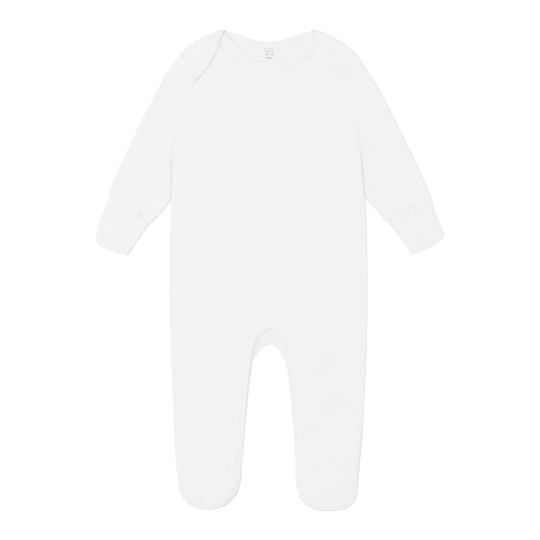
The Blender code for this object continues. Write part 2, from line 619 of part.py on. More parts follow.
def sole(name, outline):
    """The sole: flat on the table, its edge coming up and over the rim of the foot."""
    toe = outline["toe"]
    radius = (FOOT_Z - BACK_Z) / 2
    inset = radius + CLOTH / 2
    angles = np.linspace(0.0, math.pi, TOE_SEGMENTS + 1)
    base = superellipse(toe, toe["half_width"] - inset, toe["depth"] - inset, angles)
    heel_out = until(smooth_line(outline["side"]), HEEL_DOWN + GAP)[-1] - (1.5, 0.0)
    heel_in = until(smooth_line(outline["inner_leg"]), HEEL_DOWN + GAP)[-1] + (1.5, 0.0)
    heel = smooth_line([base[-1], heel_in], 3)[1:-1]
    across = smooth_line([heel_in, heel_out], 7)
    down = smooth_line([heel_out, base[0]], 3)[1:-1]
    boundary = np.vstack([base, heel, across, down])
    centre = np.array([toe["centre"], INSTEP_DOWN])
    plan = disc(centre, boundary, [0.0, 0.5, 1.0])
    sheet = Sheet()
    sheet.grid(plan[::-1], BACK_Z + 0 * plan[..., 0], outline["sign"], closed=True)

    turn = np.linspace(0.0, math.pi, FOLD_SEGMENTS + 1)
    insets = np.concatenate([inset - radius * np.sin(turn), [SOLE_LAP - GAP / 2]])
    heights = np.concatenate([BACK_Z + radius * (1 - np.cos(turn)), [FOOT_Z]])
    rim = np.stack([
        superellipse(toe, toe["half_width"] - i, toe["depth"] - i, angles) for i in insets])
    z = heights[:, None] + 0 * rim[..., 0]
    sheet.grid(rim, z, outline["sign"])
    return sheet.build("sole_" + name, RIB_WHITE)


# ---------------------------------------------------------------- the whole garment
def main():
    for old in list(bpy.data.objects):
        bpy.data.objects.remove(old, do_unlink=True)
    made = [back_panel(), front_panel(), neck_band_front(), neck_band_back(), inner_leg_band()]
    for name, outline in OUTLINES.items():
        made += [sleeve(name, outline), cuff(name, outline)]
        made += [foot_upper(name, outline), sole(name, outline)]
    corners = np.array([v.co for body in made for v in body.data.vertices])
    centre = (corners.min(axis=0) + corners.max(axis=0)) / 2
    for body in made:
        for vertex in body.data.vertices:
            vertex.co.x -= centre[0]
            vertex.co.y -= centre[1]


main()
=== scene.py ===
"""Looks of the footed baby sleepsuit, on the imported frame.

Each cloth piece is a fine shell on the form of its CAD solid: a plan worked out from the edge
curves, a height worked out from the layers, the seams and the creases, and a wall on it.
Tables are in millimetres: "out" is the distance from the centre line, "down" the distance below
the shoulder point. The frame gives where those two lie.
"""

import math

import bmesh
import bpy
import numpy as np
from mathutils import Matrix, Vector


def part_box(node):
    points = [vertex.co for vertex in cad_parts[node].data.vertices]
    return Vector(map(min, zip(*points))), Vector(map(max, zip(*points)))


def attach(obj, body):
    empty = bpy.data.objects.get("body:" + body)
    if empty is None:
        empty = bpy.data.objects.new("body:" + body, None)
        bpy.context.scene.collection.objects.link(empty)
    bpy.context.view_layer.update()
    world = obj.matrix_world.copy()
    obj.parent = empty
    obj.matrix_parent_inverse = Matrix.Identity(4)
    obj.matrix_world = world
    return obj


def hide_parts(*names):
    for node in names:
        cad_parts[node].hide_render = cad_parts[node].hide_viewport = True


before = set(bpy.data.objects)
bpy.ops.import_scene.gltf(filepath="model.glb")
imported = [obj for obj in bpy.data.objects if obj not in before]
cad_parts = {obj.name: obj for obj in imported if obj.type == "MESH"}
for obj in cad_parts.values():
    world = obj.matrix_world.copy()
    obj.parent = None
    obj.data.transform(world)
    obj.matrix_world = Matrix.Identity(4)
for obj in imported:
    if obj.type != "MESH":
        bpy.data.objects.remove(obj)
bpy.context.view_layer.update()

# ---------------------------------------------------------------- driving sizes, millimetres
CLOTH = 1.2  # wall of one layer
LAYER = 1.5  # from one layer's middle to the next one's
GAP = 0.04  # left open at the seams
BACK_Z = CLOTH / 2  # middle of the layer on the table
LOFT = 0.35  # air between the layers
FRONT_Z = BACK_Z + LAYER + LOFT
FLAP_Z = FRONT_Z + LAYER + 0.1
SIDE_EDGE_Z = 1.9  # where the front's side edge meets the back
RIDGE = 0.8  # the front stands this much higher along side seams and folds
RIDGE_NEAR, RIDGE_FAR = 4.0, 44.0

FRONT_NECK_BAND = 14.5
BACK_NECK_BAND = 10.0
INNER_LEG_BAND = 24.0
HEEL_DOWN = 508.0
INSTEP_DOWN = 532.8
INSTEP_RISE = 19.5
ANKLE_START, ANKLE_END = 455.0, 512.0
FOOT_Z = 5.0
FOOT_DOME = 0.9
SOLE_LAP = 5.0

EDGE_TURN, BAND_EDGE_TURN = 0.12, 0.5  # how far a cut edge and a folded one are rounded
HALF_TURN = np.linspace(0.0, math.pi, 11)  # stations round a fold, from the table to the top

_band_low, _band_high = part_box("neck_band_front")
CENTRE_X = (_band_low.x + _band_high.x) / 2 * 1000  # the centre line
SHOULDER_Y = _band_high.y * 1000 + 2.8  # the band's highest point is this far below the shoulder

# ---------------------------------------------------------------- outlines, (out, down)
FRONT_NECKLINE = [(0.0, 39.5), (17.7, 36.0), (31.0, 25.4), (44.3, 11.0), (50.3, 2.8)]
BACK_NECKLINE = [(0.0, 14.7), (16.0, 12.6), (28.0, 9.0), (40.0, 4.6), (49.0, 2.6), (52.5, 2.4)]
FLAP_EDGE = [(52.5, 2.4), (56.0, 12.4), (60.8, 26.6), (67.9, 39.5), (74.9, 50.2), (86.7, 62.0)]
SHOULDER = [(52.5, 0.0), (68.0, 5.2), (90.0, 17.1), (103.0, 28.3)]
FLAP_BAND_END = (92.0, 49.5)  # where the flap's band seam runs into the armhole

# One entry for each of the wearer's sides: the sign of its X, then its outlines.
OUTLINES = {
    "right": {
        "sign": -1,
        "armhole": [
            (103.0, 28.3), (95.0, 43.0), (86.7, 62.0), (90.3, 77.3), (97.4, 97.4),
            (102.1, 112.7), (109.2, 128.0), (113.7, 142.2),
        ],
        "sleeve_outer": [
            (103.0, 28.3), (118.6, 50.2), (131.0, 71.5), (148.8, 106.8), (166.0, 142.2),
            (182.5, 177.6), (188.8, 198.8), (192.9, 210.6),
        ],
        "sleeve_inner": [(114.4, 142.2), (114.9, 172.0), (115.4, 198.8)],
        "underarm": [(115.4, 198.8), (118.6, 206.5), (129.6, 220.1), (139.2, 229.5)],
        "cuff_seam": [(192.9, 210.6), (175.2, 214.8), (155.2, 220.1), (139.2, 229.5)],
        "cuff_outer": [(192.9, 210.6), (196.8, 220.1), (201.7, 234.2), (203.9, 247.2)],
        "cuff_inner": [(139.2, 229.5), (148.3, 241.4), (157.6, 255.5), (165.8, 267.3)],
        "cuff_end": [(203.9, 247.2), (198.8, 255.5), (184.7, 262.0), (165.8, 267.3)],
        "side": [
            (113.7, 142.2), (114.8, 205.9), (116.5, 248.4), (117.2, 301.5), (116.5, 342.8),
            (114.6, 390.0), (111.4, 470.2), (109.2, 508.0), (106.2, 532.8),
        ],
        "crotch": [(-1.8, 372.3), (6.5, 375.8), (12.5, 382.9), (16.6, 388.5), (18.4, 394.7)],
        "inner_leg": [
            (18.4, 394.7), (21.4, 413.6), (26.3, 460.8), (29.6, 498.6), (32.6, 532.8),
        ],
        "front_crotch": [(-3.0, 353.4), (7.7, 358.6), (14.8, 367.6), (19.5, 387.6), (21.8, 401.8)],
        "front_inner_leg": [
            (21.8, 401.8), (25.2, 432.5), (27.2, 460.8), (30.0, 498.6), (32.6, 532.8),
        ],
        "toe": {"centre": 69.4, "half_width": 36.8, "depth": 33.6, "outer": 2.2, "inner": 2.0},
    },
    "left": {
        "sign": 1,
        "armhole": [
            (103.0, 28.3), (92.6, 45.4), (85.6, 62.0), (81.4, 78.5), (85.6, 89.6),
            (98.0, 105.6), (106.4, 118.0), (108.8, 142.2),
        ],
        "sleeve_outer": [
            (103.0, 28.3), (117.9, 50.2), (131.1, 71.5), (149.6, 106.8), (167.1, 142.2),
            (183.4, 177.6), (189.6, 192.0), (193.2, 203.0),
        ],
        "sleeve_inner": [(109.6, 142.2), (112.0, 172.0), (115.2, 198.8)],
        "underarm": [(115.2, 198.8), (121.4, 206.2), (132.9, 220.1), (140.4, 228.3)],
        "cuff_seam": [(193.2, 203.0), (178.8, 206.5), (158.0, 214.6), (140.4, 228.3)],
        "cuff_outer": [(193.2, 203.0), (195.3, 213.0), (201.1, 227.2), (207.9, 243.7)],
        "cuff_inner": [(140.4, 228.3), (152.1, 241.3), (161.5, 255.5), (169.3, 266.7)],
        "cuff_end": [(207.9, 243.7), (202.8, 249.4), (187.0, 259.3), (169.3, 266.7)],
        "side": [
            (108.8, 142.2), (114.4, 198.8), (116.3, 248.4), (116.9, 301.5), (116.7, 342.8),
            (115.4, 390.0), (111.6, 470.2), (108.3, 508.0), (106.1, 532.8),
        ],
        "crotch": [(1.8, 372.3), (9.6, 375.8), (14.8, 382.9), (18.2, 390.0), (19.6, 394.7)],
        "inner_leg": [
            (19.6, 394.7), (23.8, 413.6), (28.8, 460.8), (31.5, 498.6), (32.8, 532.8),
        ],
        "front_crotch": [(3.0, 353.4), (13.5, 358.6), (19.5, 366.4), (23.4, 380.0), (24.8, 401.8)],
        "front_inner_leg": [
            (24.8, 401.8), (27.4, 432.5), (29.6, 460.8), (31.8, 498.6), (32.8, 532.8),
        ],
        "toe": {"centre": 69.4, "half_width": 36.6, "depth": 35.4, "outer": 3.0, "inner": 2.3},
    },
}


# ---------------------------------------------------------------- curves in the plan
def resample(line, count):
    """The same polyline with count points, evenly spaced by length."""
    steps = np.linalg.norm(np.diff(line, axis=0), axis=1)
    length = np.concatenate([[0.0], np.cumsum(steps)])
    at = np.linspace(0.0, length[-1], count)
    return np.stack([np.interp(at, length, line[:, i]) for i in range(2)], axis=1)


def smooth_line(points, count=61):
    """A Catmull-Rom curve through the points; two points give a straight line."""
    p = np.asarray(points, float)
    if len(p) == 2:
        return resample(p, count)
    ends = np.vstack([2 * p[0] - p[1], p, 2 * p[-1] - p[-2]])
    t = np.linspace(0.0, 1.0, 17)[:-1, None]
    spans = []
    for a, b, c, d in zip(ends[:-3], ends[1:-2], ends[2:-1], ends[3:]):
        spans.append(
            0.5 * (2 * b + (c - a) * t + (2 * a - 5 * b + 4 * c - d) * t**2
                   + (3 * b - a - 3 * c + d) * t**3)
        )
    return resample(np.vstack(spans + [p[-1:]]), count)


def shorten(line, head=0.0, tail=0.0):
    """The polyline without its first head and last tail millimetres."""
    steps = np.linalg.norm(np.diff(line, axis=0), axis=1)
    length = np.concatenate([[0.0], np.cumsum(steps)])
    at = np.linspace(head, length[-1] - tail, len(line))
    return np.stack([np.interp(at, length, line[:, i]) for i in range(2)], axis=1)


def until(line, down):
    """The polyline down to exactly this level."""
    end = np.interp(down, line[:, 1], line[:, 0])
    return np.vstack([line[line[:, 1] < down - 1.0], [[end, down]]])


def path(*parts):
    """A curve as a function of s from 0 to 1. Each part is (points or a curve, s at its end)."""
    start, at, line = 0.0, [], []
    for points, end in parts:
        piece = points(np.linspace(0, 1, 201)) if callable(points) else smooth_line(points)
        at.append(np.linspace(start, end, len(piece)))
        line.append(piece)
        start = end
    at, line = np.concatenate(at), np.vstack(line)
    return lambda s: np.stack([np.interp(s, at, line[:, 0]), np.interp(s, at, line[:, 1])], -1)


def offset(line, distance):
    """The polyline moved sideways, to the left of its direction in (out, down)."""
    tangent = np.gradient(line, axis=0)
    tangent /= np.linalg.norm(tangent, axis=1)[:, None]
    return line + distance * np.stack([tangent[:, 1], -tangent[:, 0]], axis=1)


def coons(u, v, inner, outer, top, bottom, reach=1.0):
    """A point inside four edge curves: the straight line from inner to outer at v, plus what the
    top and bottom edges depart from theirs, which fades out over reach."""
    u_, v_ = u[..., None], v[..., None]
    across = (1 - u_) * inner(v) + u_ * outer(v)
    at_top = top(u) - (1 - u_) * top(0.0) - u_ * top(1.0)
    at_bottom = bottom(u) - (1 - u_) * bottom(0.0) - u_ * bottom(1.0)
    fade_top = np.clip(1 - v_ / reach, 0.0, 1.0)
    fade_bottom = np.clip(1 - (1 - v_) / reach, 0.0, 1.0)
    return across + at_top * fade_top + at_bottom * fade_bottom


def smoothstep(x):
    """0 below 0, 1 above 1, and a soft S between."""
    x = np.clip(x, 0.0, 1.0)
    return x * x * (3 - 2 * x)


def near(distance, full, gone):
    """1 up to the distance full, falling softly to 0 at gone."""
    return 1 - smoothstep((distance - full) / (gone - full))


def distance_to(points, line):
    """The plan distance from each point to the nearest chord of a curve."""
    run = np.diff(line, axis=0)
    apart = points[..., None, :] - line[:-1]
    share = np.clip((apart * run).sum(-1) / np.maximum((run**2).sum(-1), 1e-12), 0.0, 1.0)
    return np.sqrt(((apart - share[..., None] * run) ** 2).sum(-1)).min(-1)


def join_opening(arch, leg):
    """Makes an edge of the opening one smooth line from foot to foot, without a corner."""
    right, left = OUTLINES["right"], OUTLINES["left"]
    half = [(-x, down) for x, down in (right[arch] + right[leg][1:])[:0:-1]]
    whole = smooth_line(half + left[arch] + left[leg][1:], 801)
    middle = int(np.linalg.norm(whole - left[arch][0], axis=1).argmin())
    whole[middle] = left[arch][0]
    for outline, line in ((right, whole[middle::-1] * (-1, 1)), (left, whole[middle:])):
        top = int(np.linalg.norm(line - outline[leg][0], axis=1).argmin())
        outline[arch], outline[leg] = line[: top + 1].tolist(), line[top:].tolist()


join_opening("crotch", "inner_leg")
join_opening("front_crotch", "front_inner_leg")


def superellipse(toe, inset, angles):
    """The front of a foot this far inside its outline, half a superellipse: angle 0 is its outer
    side, pi / 2 the toe, pi its inner side."""
    power = np.where(angles < math.pi / 2, toe["outer"], toe["inner"])
    c, s = np.cos(angles), np.sin(angles)
    half_width, depth = toe["half_width"] - inset, toe["depth"] - inset
    out = toe["centre"] + half_width * np.sign(c) * np.abs(c) ** (2 / power)
    return np.stack([out, INSTEP_DOWN + depth * np.abs(s) ** (2 / power)], axis=-1)


# Creases in the cloth above the table: x is towards the wearer's left, height below 0 is a trough.
CREASE_COLUMNS = ("x0", "down0", "x1", "down1", "bow", "width", "height")
CREASES = [
    (86.0, 24.0, 102.0, 38.0, 1.5, 2.0, 0.35),  # left shoulder, over the flap
    (82.0, 31.0, 96.0, 46.0, -1.5, 2.4, -0.30),
    (41.5, 39.0, 60.0, 25.0, 2.4, 1.4, -0.8),  # where the neck seam runs under the left flap
    (104.0, 112.0, 74.0, 124.0, 3.0, 5.0, 0.30),  # left armpit
    (107.0, 136.0, 82.0, 158.0, -3.0, 6.0, 0.28),
    (-108.0, 126.0, -80.0, 116.0, 3.0, 6.0, 0.25),  # right armpit
    (-112.0, 150.0, -92.0, 176.0, -3.0, 6.0, 0.22),
    (-16.0, 350.0, -54.0, 322.0, 5.0, 6.0, 0.30),  # from the arch of the opening
    (24.0, 350.0, 60.0, 318.0, -5.0, 6.5, 0.30),
    (-25.0, 384.0, -66.0, 378.0, 4.0, 7.0, 0.25),
    (28.0, 386.0, 70.0, 384.0, -4.0, 7.0, 0.25),
    (-34.0, 430.0, -48.0, 442.0, 1.0, 2.5, 0.20),  # inner legs
    (36.0, 456.0, 50.0, 470.0, -1.0, 2.5, 0.20),
    (-104.0, 500.0, -80.0, 486.0, 2.0, 3.0, 0.25),  # ankles
    (-40.0, 498.0, -58.0, 488.0, -2.0, 3.0, 0.22),
    (102.0, 498.0, 82.0, 486.0, -2.0, 3.0, 0.22),
    (42.0, 500.0, 60.0, 490.0, 2.0, 3.0, 0.25),
    (-153.0, 213.0, -152.5, 203.0, 0.5, 1.2, -0.50),  # tuck over the right cuff's seam
    (-150.0, 214.0, -143.5, 206.0, 0.8, 1.2, -0.40),
    (-157.0, 214.0, -161.0, 207.0, -0.6, 1.1, -0.35),
    (-152.0, 220.0, -131.0, 218.5, 2.2, 1.3, -0.45),
    (-150.0, 223.5, -138.0, 226.5, 1.2, 1.5, 0.35),
    (176.0, 176.0, 158.0, 186.0, 2.0, 4.0, 0.30),  # left sleeve over its cuff
    (182.0, 192.0, 166.0, 197.0, 1.5, 3.0, 0.25),
    (-178.0, 178.0, -160.0, 190.0, -2.0, 4.0, 0.25),  # right sleeve
    (-122.0, 160.0, -140.0, 168.0, 2.0, 5.0, 0.25),  # elbows
    (126.0, 156.0, 146.0, 166.0, -2.0, 5.0, 0.25),
    (-103.0, 66.0, -112.0, 88.0, 2.0, 5.0, 0.25),
    (96.0, 92.0, 112.0, 104.0, 2.0, 5.0, 0.25),
    (193.0, 226.0, 184.0, 244.0, 1.0, 5.0, 0.20),  # left cuff
    (-188.0, 226.0, -176.0, 246.0, -1.0, 5.0, 0.20),
    (-90.0, 560.0, -78.0, 543.0, 2.0, 4.0, 0.30),  # feet
    (-52.0, 560.0, -60.0, 545.0, 1.0, 4.0, 0.30),
    (90.0, 560.0, 80.0, 545.0, -2.0, 4.0, 0.28),
    (50.0, 556.0, 60.0, 543.0, -1.0, 4.0, 0.28),
    (-39.5, 537.5, -43.5, 549.0, -1.0, 1.4, -1.3),  # the right sole's rim, pressed in
    (-95.0, 530.0, -88.0, 522.5, 0.4, 1.3, -0.5),  # puckers at the ends of the instep seams
    (-90.0, 530.5, -83.5, 524.5, -0.4, 1.3, 0.4),
    (-86.0, 521.0, -80.0, 515.5, 0.3, 1.3, -0.3),
    (-52.5, 529.0, -47.0, 523.5, 0.4, 1.3, -0.35),
    (40.0, 524.0, 45.5, 518.0, 0.4, 1.3, 0.4),
    (44.5, 527.5, 50.0, 521.0, -0.4, 1.3, -0.35),
    (92.0, 536.0, 97.5, 529.5, 0.4, 1.3, -0.4),
    (88.0, 531.0, 93.0, 525.0, 0.3, 1.3, 0.35),
]
# Waves that are never quite pressed out: size along x and down, height and turn.
SWELLS = [(130.0, 210.0, 0.16, 0.4), (74.0, 96.0, 0.10, 2.1), (43.0, 61.0, 0.06, 4.4)]


def relief(x, down):
    """Height of the creases and swells. A crease is a Gaussian across its bowed line, fading to
    nothing at both ends; a swell is a product of two sines."""
    total = np.zeros(np.shape(x))
    for wide, long, height, turn in SWELLS:
        total += height * np.sin(2 * math.pi * x / wide + turn) * np.sin(2 * math.pi * down / long)
    for values in CREASES:
        crease = dict(zip(CREASE_COLUMNS, values))
        start = np.array([crease["x0"], crease["down0"]])
        run = np.array([crease["x1"], crease["down1"]]) - start
        length = np.hypot(*run)
        along = ((x - start[0]) * run[0] + (down - start[1]) * run[1]) / length**2
        across = ((down - start[1]) * run[0] - (x - start[0]) * run[1]) / length
        inside = np.clip(along, 0.0, 1.0)
        across = across - crease["bow"] * 4 * inside * (1 - inside)
        fade = np.sin(math.pi * inside) ** 0.8
        total += crease["height"] * fade * np.exp(-((across / crease["width"]) ** 2))
    return total


def grooves(plan, seams):
    """Depth of the grooves at seams: each seam is (line, depth, half width), a Gaussian across."""
    depth = np.zeros(plan.shape[:-1])
    for line, deep, wide in seams:
        depth += deep * np.exp(-((distance_to(plan, line) / wide) ** 2))
    return depth


# ---------------------------------------------------------------- materials
def linear(colour):
    """An sRGB hex colour as linear RGBA."""
    parts = [int(colour[i : i + 2], 16) / 255 for i in (1, 3, 5)]
    return (*[p / 12.92 if p <= 0.04045 else ((p + 0.055) / 1.055) ** 2.4 for p in parts], 1.0)


def add(tree, kind, values=None, links=None, **settings):
    """Adds a shader node with its settings, its sockets' values and its links."""
    made = tree.nodes.new("ShaderNode" + kind)
    for name, value in settings.items():
        setattr(made, name, value)
    for socket, value in (values or {}).items():
        made.inputs[socket].default_value = value
    for socket, source in (links or {}).items():
        tree.links.new(source, made.inputs[socket])
    return made


def start_material(name):
    """A new material with its node tree, and the Principled shader in it."""
    made = bpy.data.materials.new(name)
    made.use_nodes = True
    return made, made.node_tree, made.node_tree.nodes["Principled BSDF"]


# The knit at its real size, too fine to be seen from the camera: it only softens the cloth.
WALE = 0.0009  # one rib of the knit across the cloth; interlock has about 11 to the centimetre
COURSE = 0.00075  # one row of loops
NAP_SCALE = 1400.0  # tufts of fluff 0.7 mm across
UNEVEN_SCALE = 55.0  # thicker and thinner places 18 mm across


def cotton_interlock(name, light, dark, knit=0.22):
    """Cotton interlock, bleached white: matt, with a faint nap that lifts grazing light.

    The knit is read from the cloth's own UV map: ribs are a sine across it, loops a sine along
    it whose phase swings with the rib, so that each row reads as a chain of small chevrons.
    """
    made, tree, shader = start_material(name)
    weave = add(tree, "UVMap", uv_map="cloth")
    split = add(tree, "SeparateXYZ", links={0: weave.outputs["UV"]})
    across = add(tree, "Math", {1: 2 * math.pi / WALE}, {0: split.outputs["X"]},
                 operation="MULTIPLY")
    rib = add(tree, "Math", links={0: across.outputs[0]}, operation="SINE")
    rows = add(tree, "Math", {1: 2 * math.pi / COURSE}, {0: split.outputs["Y"]},
               operation="MULTIPLY")
    swing = add(tree, "Math", {1: 1.3}, {0: rib.outputs[0], 2: rows.outputs[0]},
                operation="MULTIPLY_ADD")
    loop = add(tree, "Math", links={0: swing.outputs[0]}, operation="SINE")
    height = add(tree, "Math", {1: 0.6}, {0: loop.outputs[0], 2: rib.outputs[0]},
                 operation="MULTIPLY_ADD")
    knit_bump = add(tree, "Bump", {"Strength": knit, "Distance": 0.00012},
                    {"Height": height.outputs[0]})
    spot = add(tree, "TexCoord")
    fuzz = add(tree, "TexNoise", {"Scale": NAP_SCALE, "Detail": 3.0, "Roughness": 0.6},
               {"Vector": spot.outputs["Object"]})
    nap = add(tree, "Bump", {"Strength": 0.12, "Distance": 0.00015},
              {"Height": fuzz.outputs[0], "Normal": knit_bump.outputs[0]})
    thick = add(tree, "TexNoise", {"Scale": UNEVEN_SCALE, "Detail": 4.0, "Roughness": 0.55},
                {"Vector": spot.outputs["Object"]})
    soft = add(tree, "Bump", {"Strength": 0.10, "Distance": 0.0012},
               {"Height": thick.outputs[0], "Normal": nap.outputs[0]})
    tone = add(tree, "Mix", links={"Factor": thick.outputs[0]}, data_type="RGBA")
    tone.inputs["A"].default_value = linear(light)
    tone.inputs["B"].default_value = linear(dark)
    tree.links.new(tone.outputs["Result"], shader.inputs["Base Color"])
    tree.links.new(soft.outputs[0], shader.inputs["Normal"])
    shader.inputs["Roughness"].default_value = 0.9
    shader.inputs["Specular IOR Level"].default_value = 0.25
    shader.inputs["Sheen Weight"].default_value = 0.12
    shader.inputs["Sheen Roughness"].default_value = 0.6
    return made


def spun_thread(name, colour):
    """Polyester sewing thread: white, a little smoother and brighter than the cloth, with a twist."""
    made, tree, shader = start_material(name)
    spot = add(tree, "TexCoord")
    twist = add(tree, "TexWave", {"Scale": 420.0, "Distortion": 0.4},
                {"Vector": spot.outputs["Object"]}, bands_direction="DIAGONAL")
    bump = add(tree, "Bump", {"Strength": 0.3, "Distance": 0.00005}, {"Height": twist.outputs[1]})
    tree.links.new(bump.outputs[0], shader.inputs["Normal"])
    shader.inputs["Base Color"].default_value = linear(colour)
    shader.inputs["Roughness"].default_value = 0.75
    shader.inputs["Specular IOR Level"].default_value = 0.3
    return made


def pressed_ink(name, colour, worn):
    """Grey heat-pressed ink on the knit: matt, paler in fine random specks."""
    made, tree, shader = start_material(name)
    spot = add(tree, "TexCoord")
    grain = add(tree, "TexNoise", {"Scale": 1500.0, "Detail": 2.0},
                {"Vector": spot.outputs["Object"]})
    tone = add(tree, "Mix", links={"Factor": grain.outputs[0]}, data_type="RGBA")
    tone.inputs["A"].default_value = linear(colour)
    tone.inputs["B"].default_value = linear(worn)
    tree.links.new(tone.outputs["Result"], shader.inputs["Base Color"])
    shader.inputs["Roughness"].default_value = 0.7
    return made


COTTON_WHITE, COTTON_SHADE = "#ECEBEB", "#EAE9E9"
BODY_COTTON = cotton_interlock("bleached_cotton_interlock", COTTON_WHITE, COTTON_SHADE)
SLEEVE_COTTON = cotton_interlock("bleached_cotton_interlock_sleeve", COTTON_WHITE, COTTON_SHADE)
# The feet's copy of the cloth is a touch darker and warmer than the body's: painted shade for the
# feet.
FOOT_COTTON_PAINTED_SHADE = cotton_interlock("bleached_cotton_interlock_foot_painted_shade", "#ECEBEA", "#EAE9E7")
BAND_COTTON = cotton_interlock("doubled_cotton_band", COTTON_WHITE, COTTON_SHADE, knit=0.3)
THREAD = spun_thread("white_spun_thread", "#F0EFEE")
INK = pressed_ink("grey_pressed_ink", "#BDBDBE", "#D2D2D2")


# ---------------------------------------------------------------- meshes
def place(plan, z, sign):
    """Plan points and heights as points in the frame, in metres."""
    x = CENTRE_X + sign * plan[..., 0]
    return np.stack([x, SHOULDER_Y - plan[..., 1], z], axis=-1) * 0.001


def new_piece(mesh, material):
    """An object for a mesh, at the origin, in its material."""
    piece = bpy.data.objects.new(mesh.name, mesh)
    bpy.context.scene.collection.objects.link(piece)
    mesh.materials.append(material)
    return piece


def finish_piece(piece, nodes=()):
    """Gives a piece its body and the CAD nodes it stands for."""
    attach(piece, "root")
    if nodes:
        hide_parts(*nodes)
    return piece


SAME_POINT = 0.00001  # grids are sewn together where their points are nearer than this, in metres


class Cloth:
    """Grids of points sewn into one sheet where their points meet, with a wall on it."""

    def __init__(self):
        self.points = []
        self.faces = []

    def grid(self, plan, z, sign, closed=False, creased=1.0):
        """Adds a grid; creased is its share of the relief of the cloth that lies on top."""
        rows, columns = z.shape
        first = sum(len(p) for p in self.points)
        if creased:
            z = z + creased * relief(sign * plan[..., 0], plan[..., 1])
        self.points.append(place(plan, z, sign).reshape(-1, 3))
        index = first + np.arange(rows * columns).reshape(rows, columns)
        if closed:
            index = np.concatenate([index, index[:, :1]], axis=1)
        quads = np.stack([index[:-1, :-1], index[:-1, 1:], index[1:, 1:], index[1:, :-1]], -1)
        if sign > 0:
            quads = quads[..., ::-1]
        self.faces.append(quads.reshape(-1, 4))

    def build(self, node, material, grain=0.0, wall=CLOTH, edge=EDGE_TURN):
        """Makes the piece that stands for a CAD node. grain turns the knit's ribs from the length
        of the garment, flat is the size of its cut, and the cut's area is that of the sheet's
        middle, held between the least and the most that such a cut can have."""
        mesh = bpy.data.meshes.new(node + "_cloth")
        mesh.from_pydata(np.vstack(self.points).tolist(), [], np.vstack(self.faces).tolist())
        work = bmesh.new()
        work.from_mesh(mesh)
        bmesh.ops.remove_doubles(work, verts=work.verts, dist=SAME_POINT)
        bmesh.ops.dissolve_degenerate(work, edges=work.edges, dist=SAME_POINT)
        bmesh.ops.recalc_face_normals(work, faces=work.faces)
        area = sum(face.calc_area() for face in work.faces)
        work.to_mesh(mesh)
        work.free()
        corner = np.zeros(len(mesh.loops), int)
        mesh.loops.foreach_get("vertex_index", corner)
        spot = np.zeros(len(mesh.vertices) * 3)
        mesh.vertices.foreach_get("co", spot)
        spot = spot.reshape(-1, 3)[corner]
        c, s = math.cos(grain), math.sin(grain)
        turned = np.stack([c * spot[:, 0] - s * spot[:, 1], s * spot[:, 0] + c * spot[:, 1]], -1)
        mesh.uv_layers.new(name="cloth").data.foreach_set("uv", turned.ravel())
        mesh.shade_smooth()
        piece = new_piece(mesh, material)
        solidify = piece.modifiers.new("wall", "SOLIDIFY")
        solidify.thickness = wall * 0.001
        solidify.offset = 0.0
        turned_edge = piece.modifiers.new("turned edge", "BEVEL")
        turned_edge.width = edge * 0.001
        turned_edge.segments = 2
        turned_edge.limit_method = "ANGLE"
        turned_edge.angle_limit = math.radians(50)
        finish_piece(piece, [node])
        return piece


def eased(count, ends=0.55):
    """Values from 0 to 1, closer together at both ends."""
    t = np.linspace(0.0, 1.0, count)
    return t - ends * np.sin(2 * math.pi * t) / (2 * math.pi)


# ---------------------------------------------------------------- shared shapes
def leg_profile(down):
    """How far the front of the leg has risen to the foot, 0 to 1."""
    return smoothstep((down - ANKLE_START) / (ANKLE_END - ANKLE_START))


def instep(outline, moved=0.0):
    """The seam across the foot, from its inner to its outer end: a half ellipse, moved up."""
    toe = outline["toe"]
    angles = np.linspace(math.pi, 0.0, 41)
    out = toe["centre"] + (toe["half_width"] - SOLE_LAP + moved) * np.cos(angles)
    down = INSTEP_DOWN - moved - INSTEP_RISE * np.sin(angles)
    return np.stack([out, down], axis=-1)


def shoulder_fold():
    """The line along which the back folds over at the shoulder, inside the outline, in two
    parts: across the neck band, and from there to the armhole."""
    bulge = (FLAP_Z - BACK_Z) / 2 + CLOTH / 2
    fold = resample(offset(smooth_line(SHOULDER), -bulge), 241)
    from_neck = np.linalg.norm(fold - fold[0], axis=1)
    crossing = int(np.argmin(np.abs(from_neck - BACK_NECK_BAND - GAP)))
    band_part, back_part = resample(fold[: crossing + 1], 41), resample(fold[crossing:], 81)
    return shorten(band_part, tail=1.5 * GAP), back_part


def back_neck_seam(moved):
    """The seam of the back's neck band from the centre to the shoulder fold, moved to the neck."""
    band_part, back_part = shoulder_fold()
    seam = offset(smooth_line(BACK_NECKLINE), -(BACK_NECK_BAND + GAP))
    seam = smooth_line(np.vstack([seam[seam[:, 0] < back_part[0, 0] - 2.0][::8], back_part[:1]]))
    if moved:
        seam = offset(seam, moved)
        seam[-1] = band_part[-1]
    seam[0, 0] = 0.0
    return path((seam, 1.0))


def flap_seam(moved):
    """The seam of the flap's band from the shoulder fold to the armhole, moved to the edge."""
    band_part, back_part = shoulder_fold()
    seam = offset(smooth_line(FLAP_EDGE), BACK_NECK_BAND + GAP)
    seam = seam[(seam[:, 1] > back_part[0, 1] + 9.0) & (seam[:, 1] < FLAP_BAND_END[1] - 8.0)]
    seam = smooth_line(np.vstack([back_part[:1], resample(seam, 4), [FLAP_BAND_END]]))
    if moved:
        seam = offset(seam, -moved)
        seam[0] = band_part[-1]
        seam[-1] = np.array(FLAP_BAND_END) + np.array([-0.5, 0.9]) * moved
    return path((seam, 1.0))


def armhole_line(outline):
    """The armhole as a function of 0..1, from the shoulder fold to the armpit."""
    points = np.array(outline["armhole"])
    start = shoulder_fold()[1][-1]
    flap_end = points[2]
    return path(([start, FLAP_BAND_END], BAND_AT),
                ([FLAP_BAND_END, flap_end], FLAP_AT), (points[2:], 1.0))


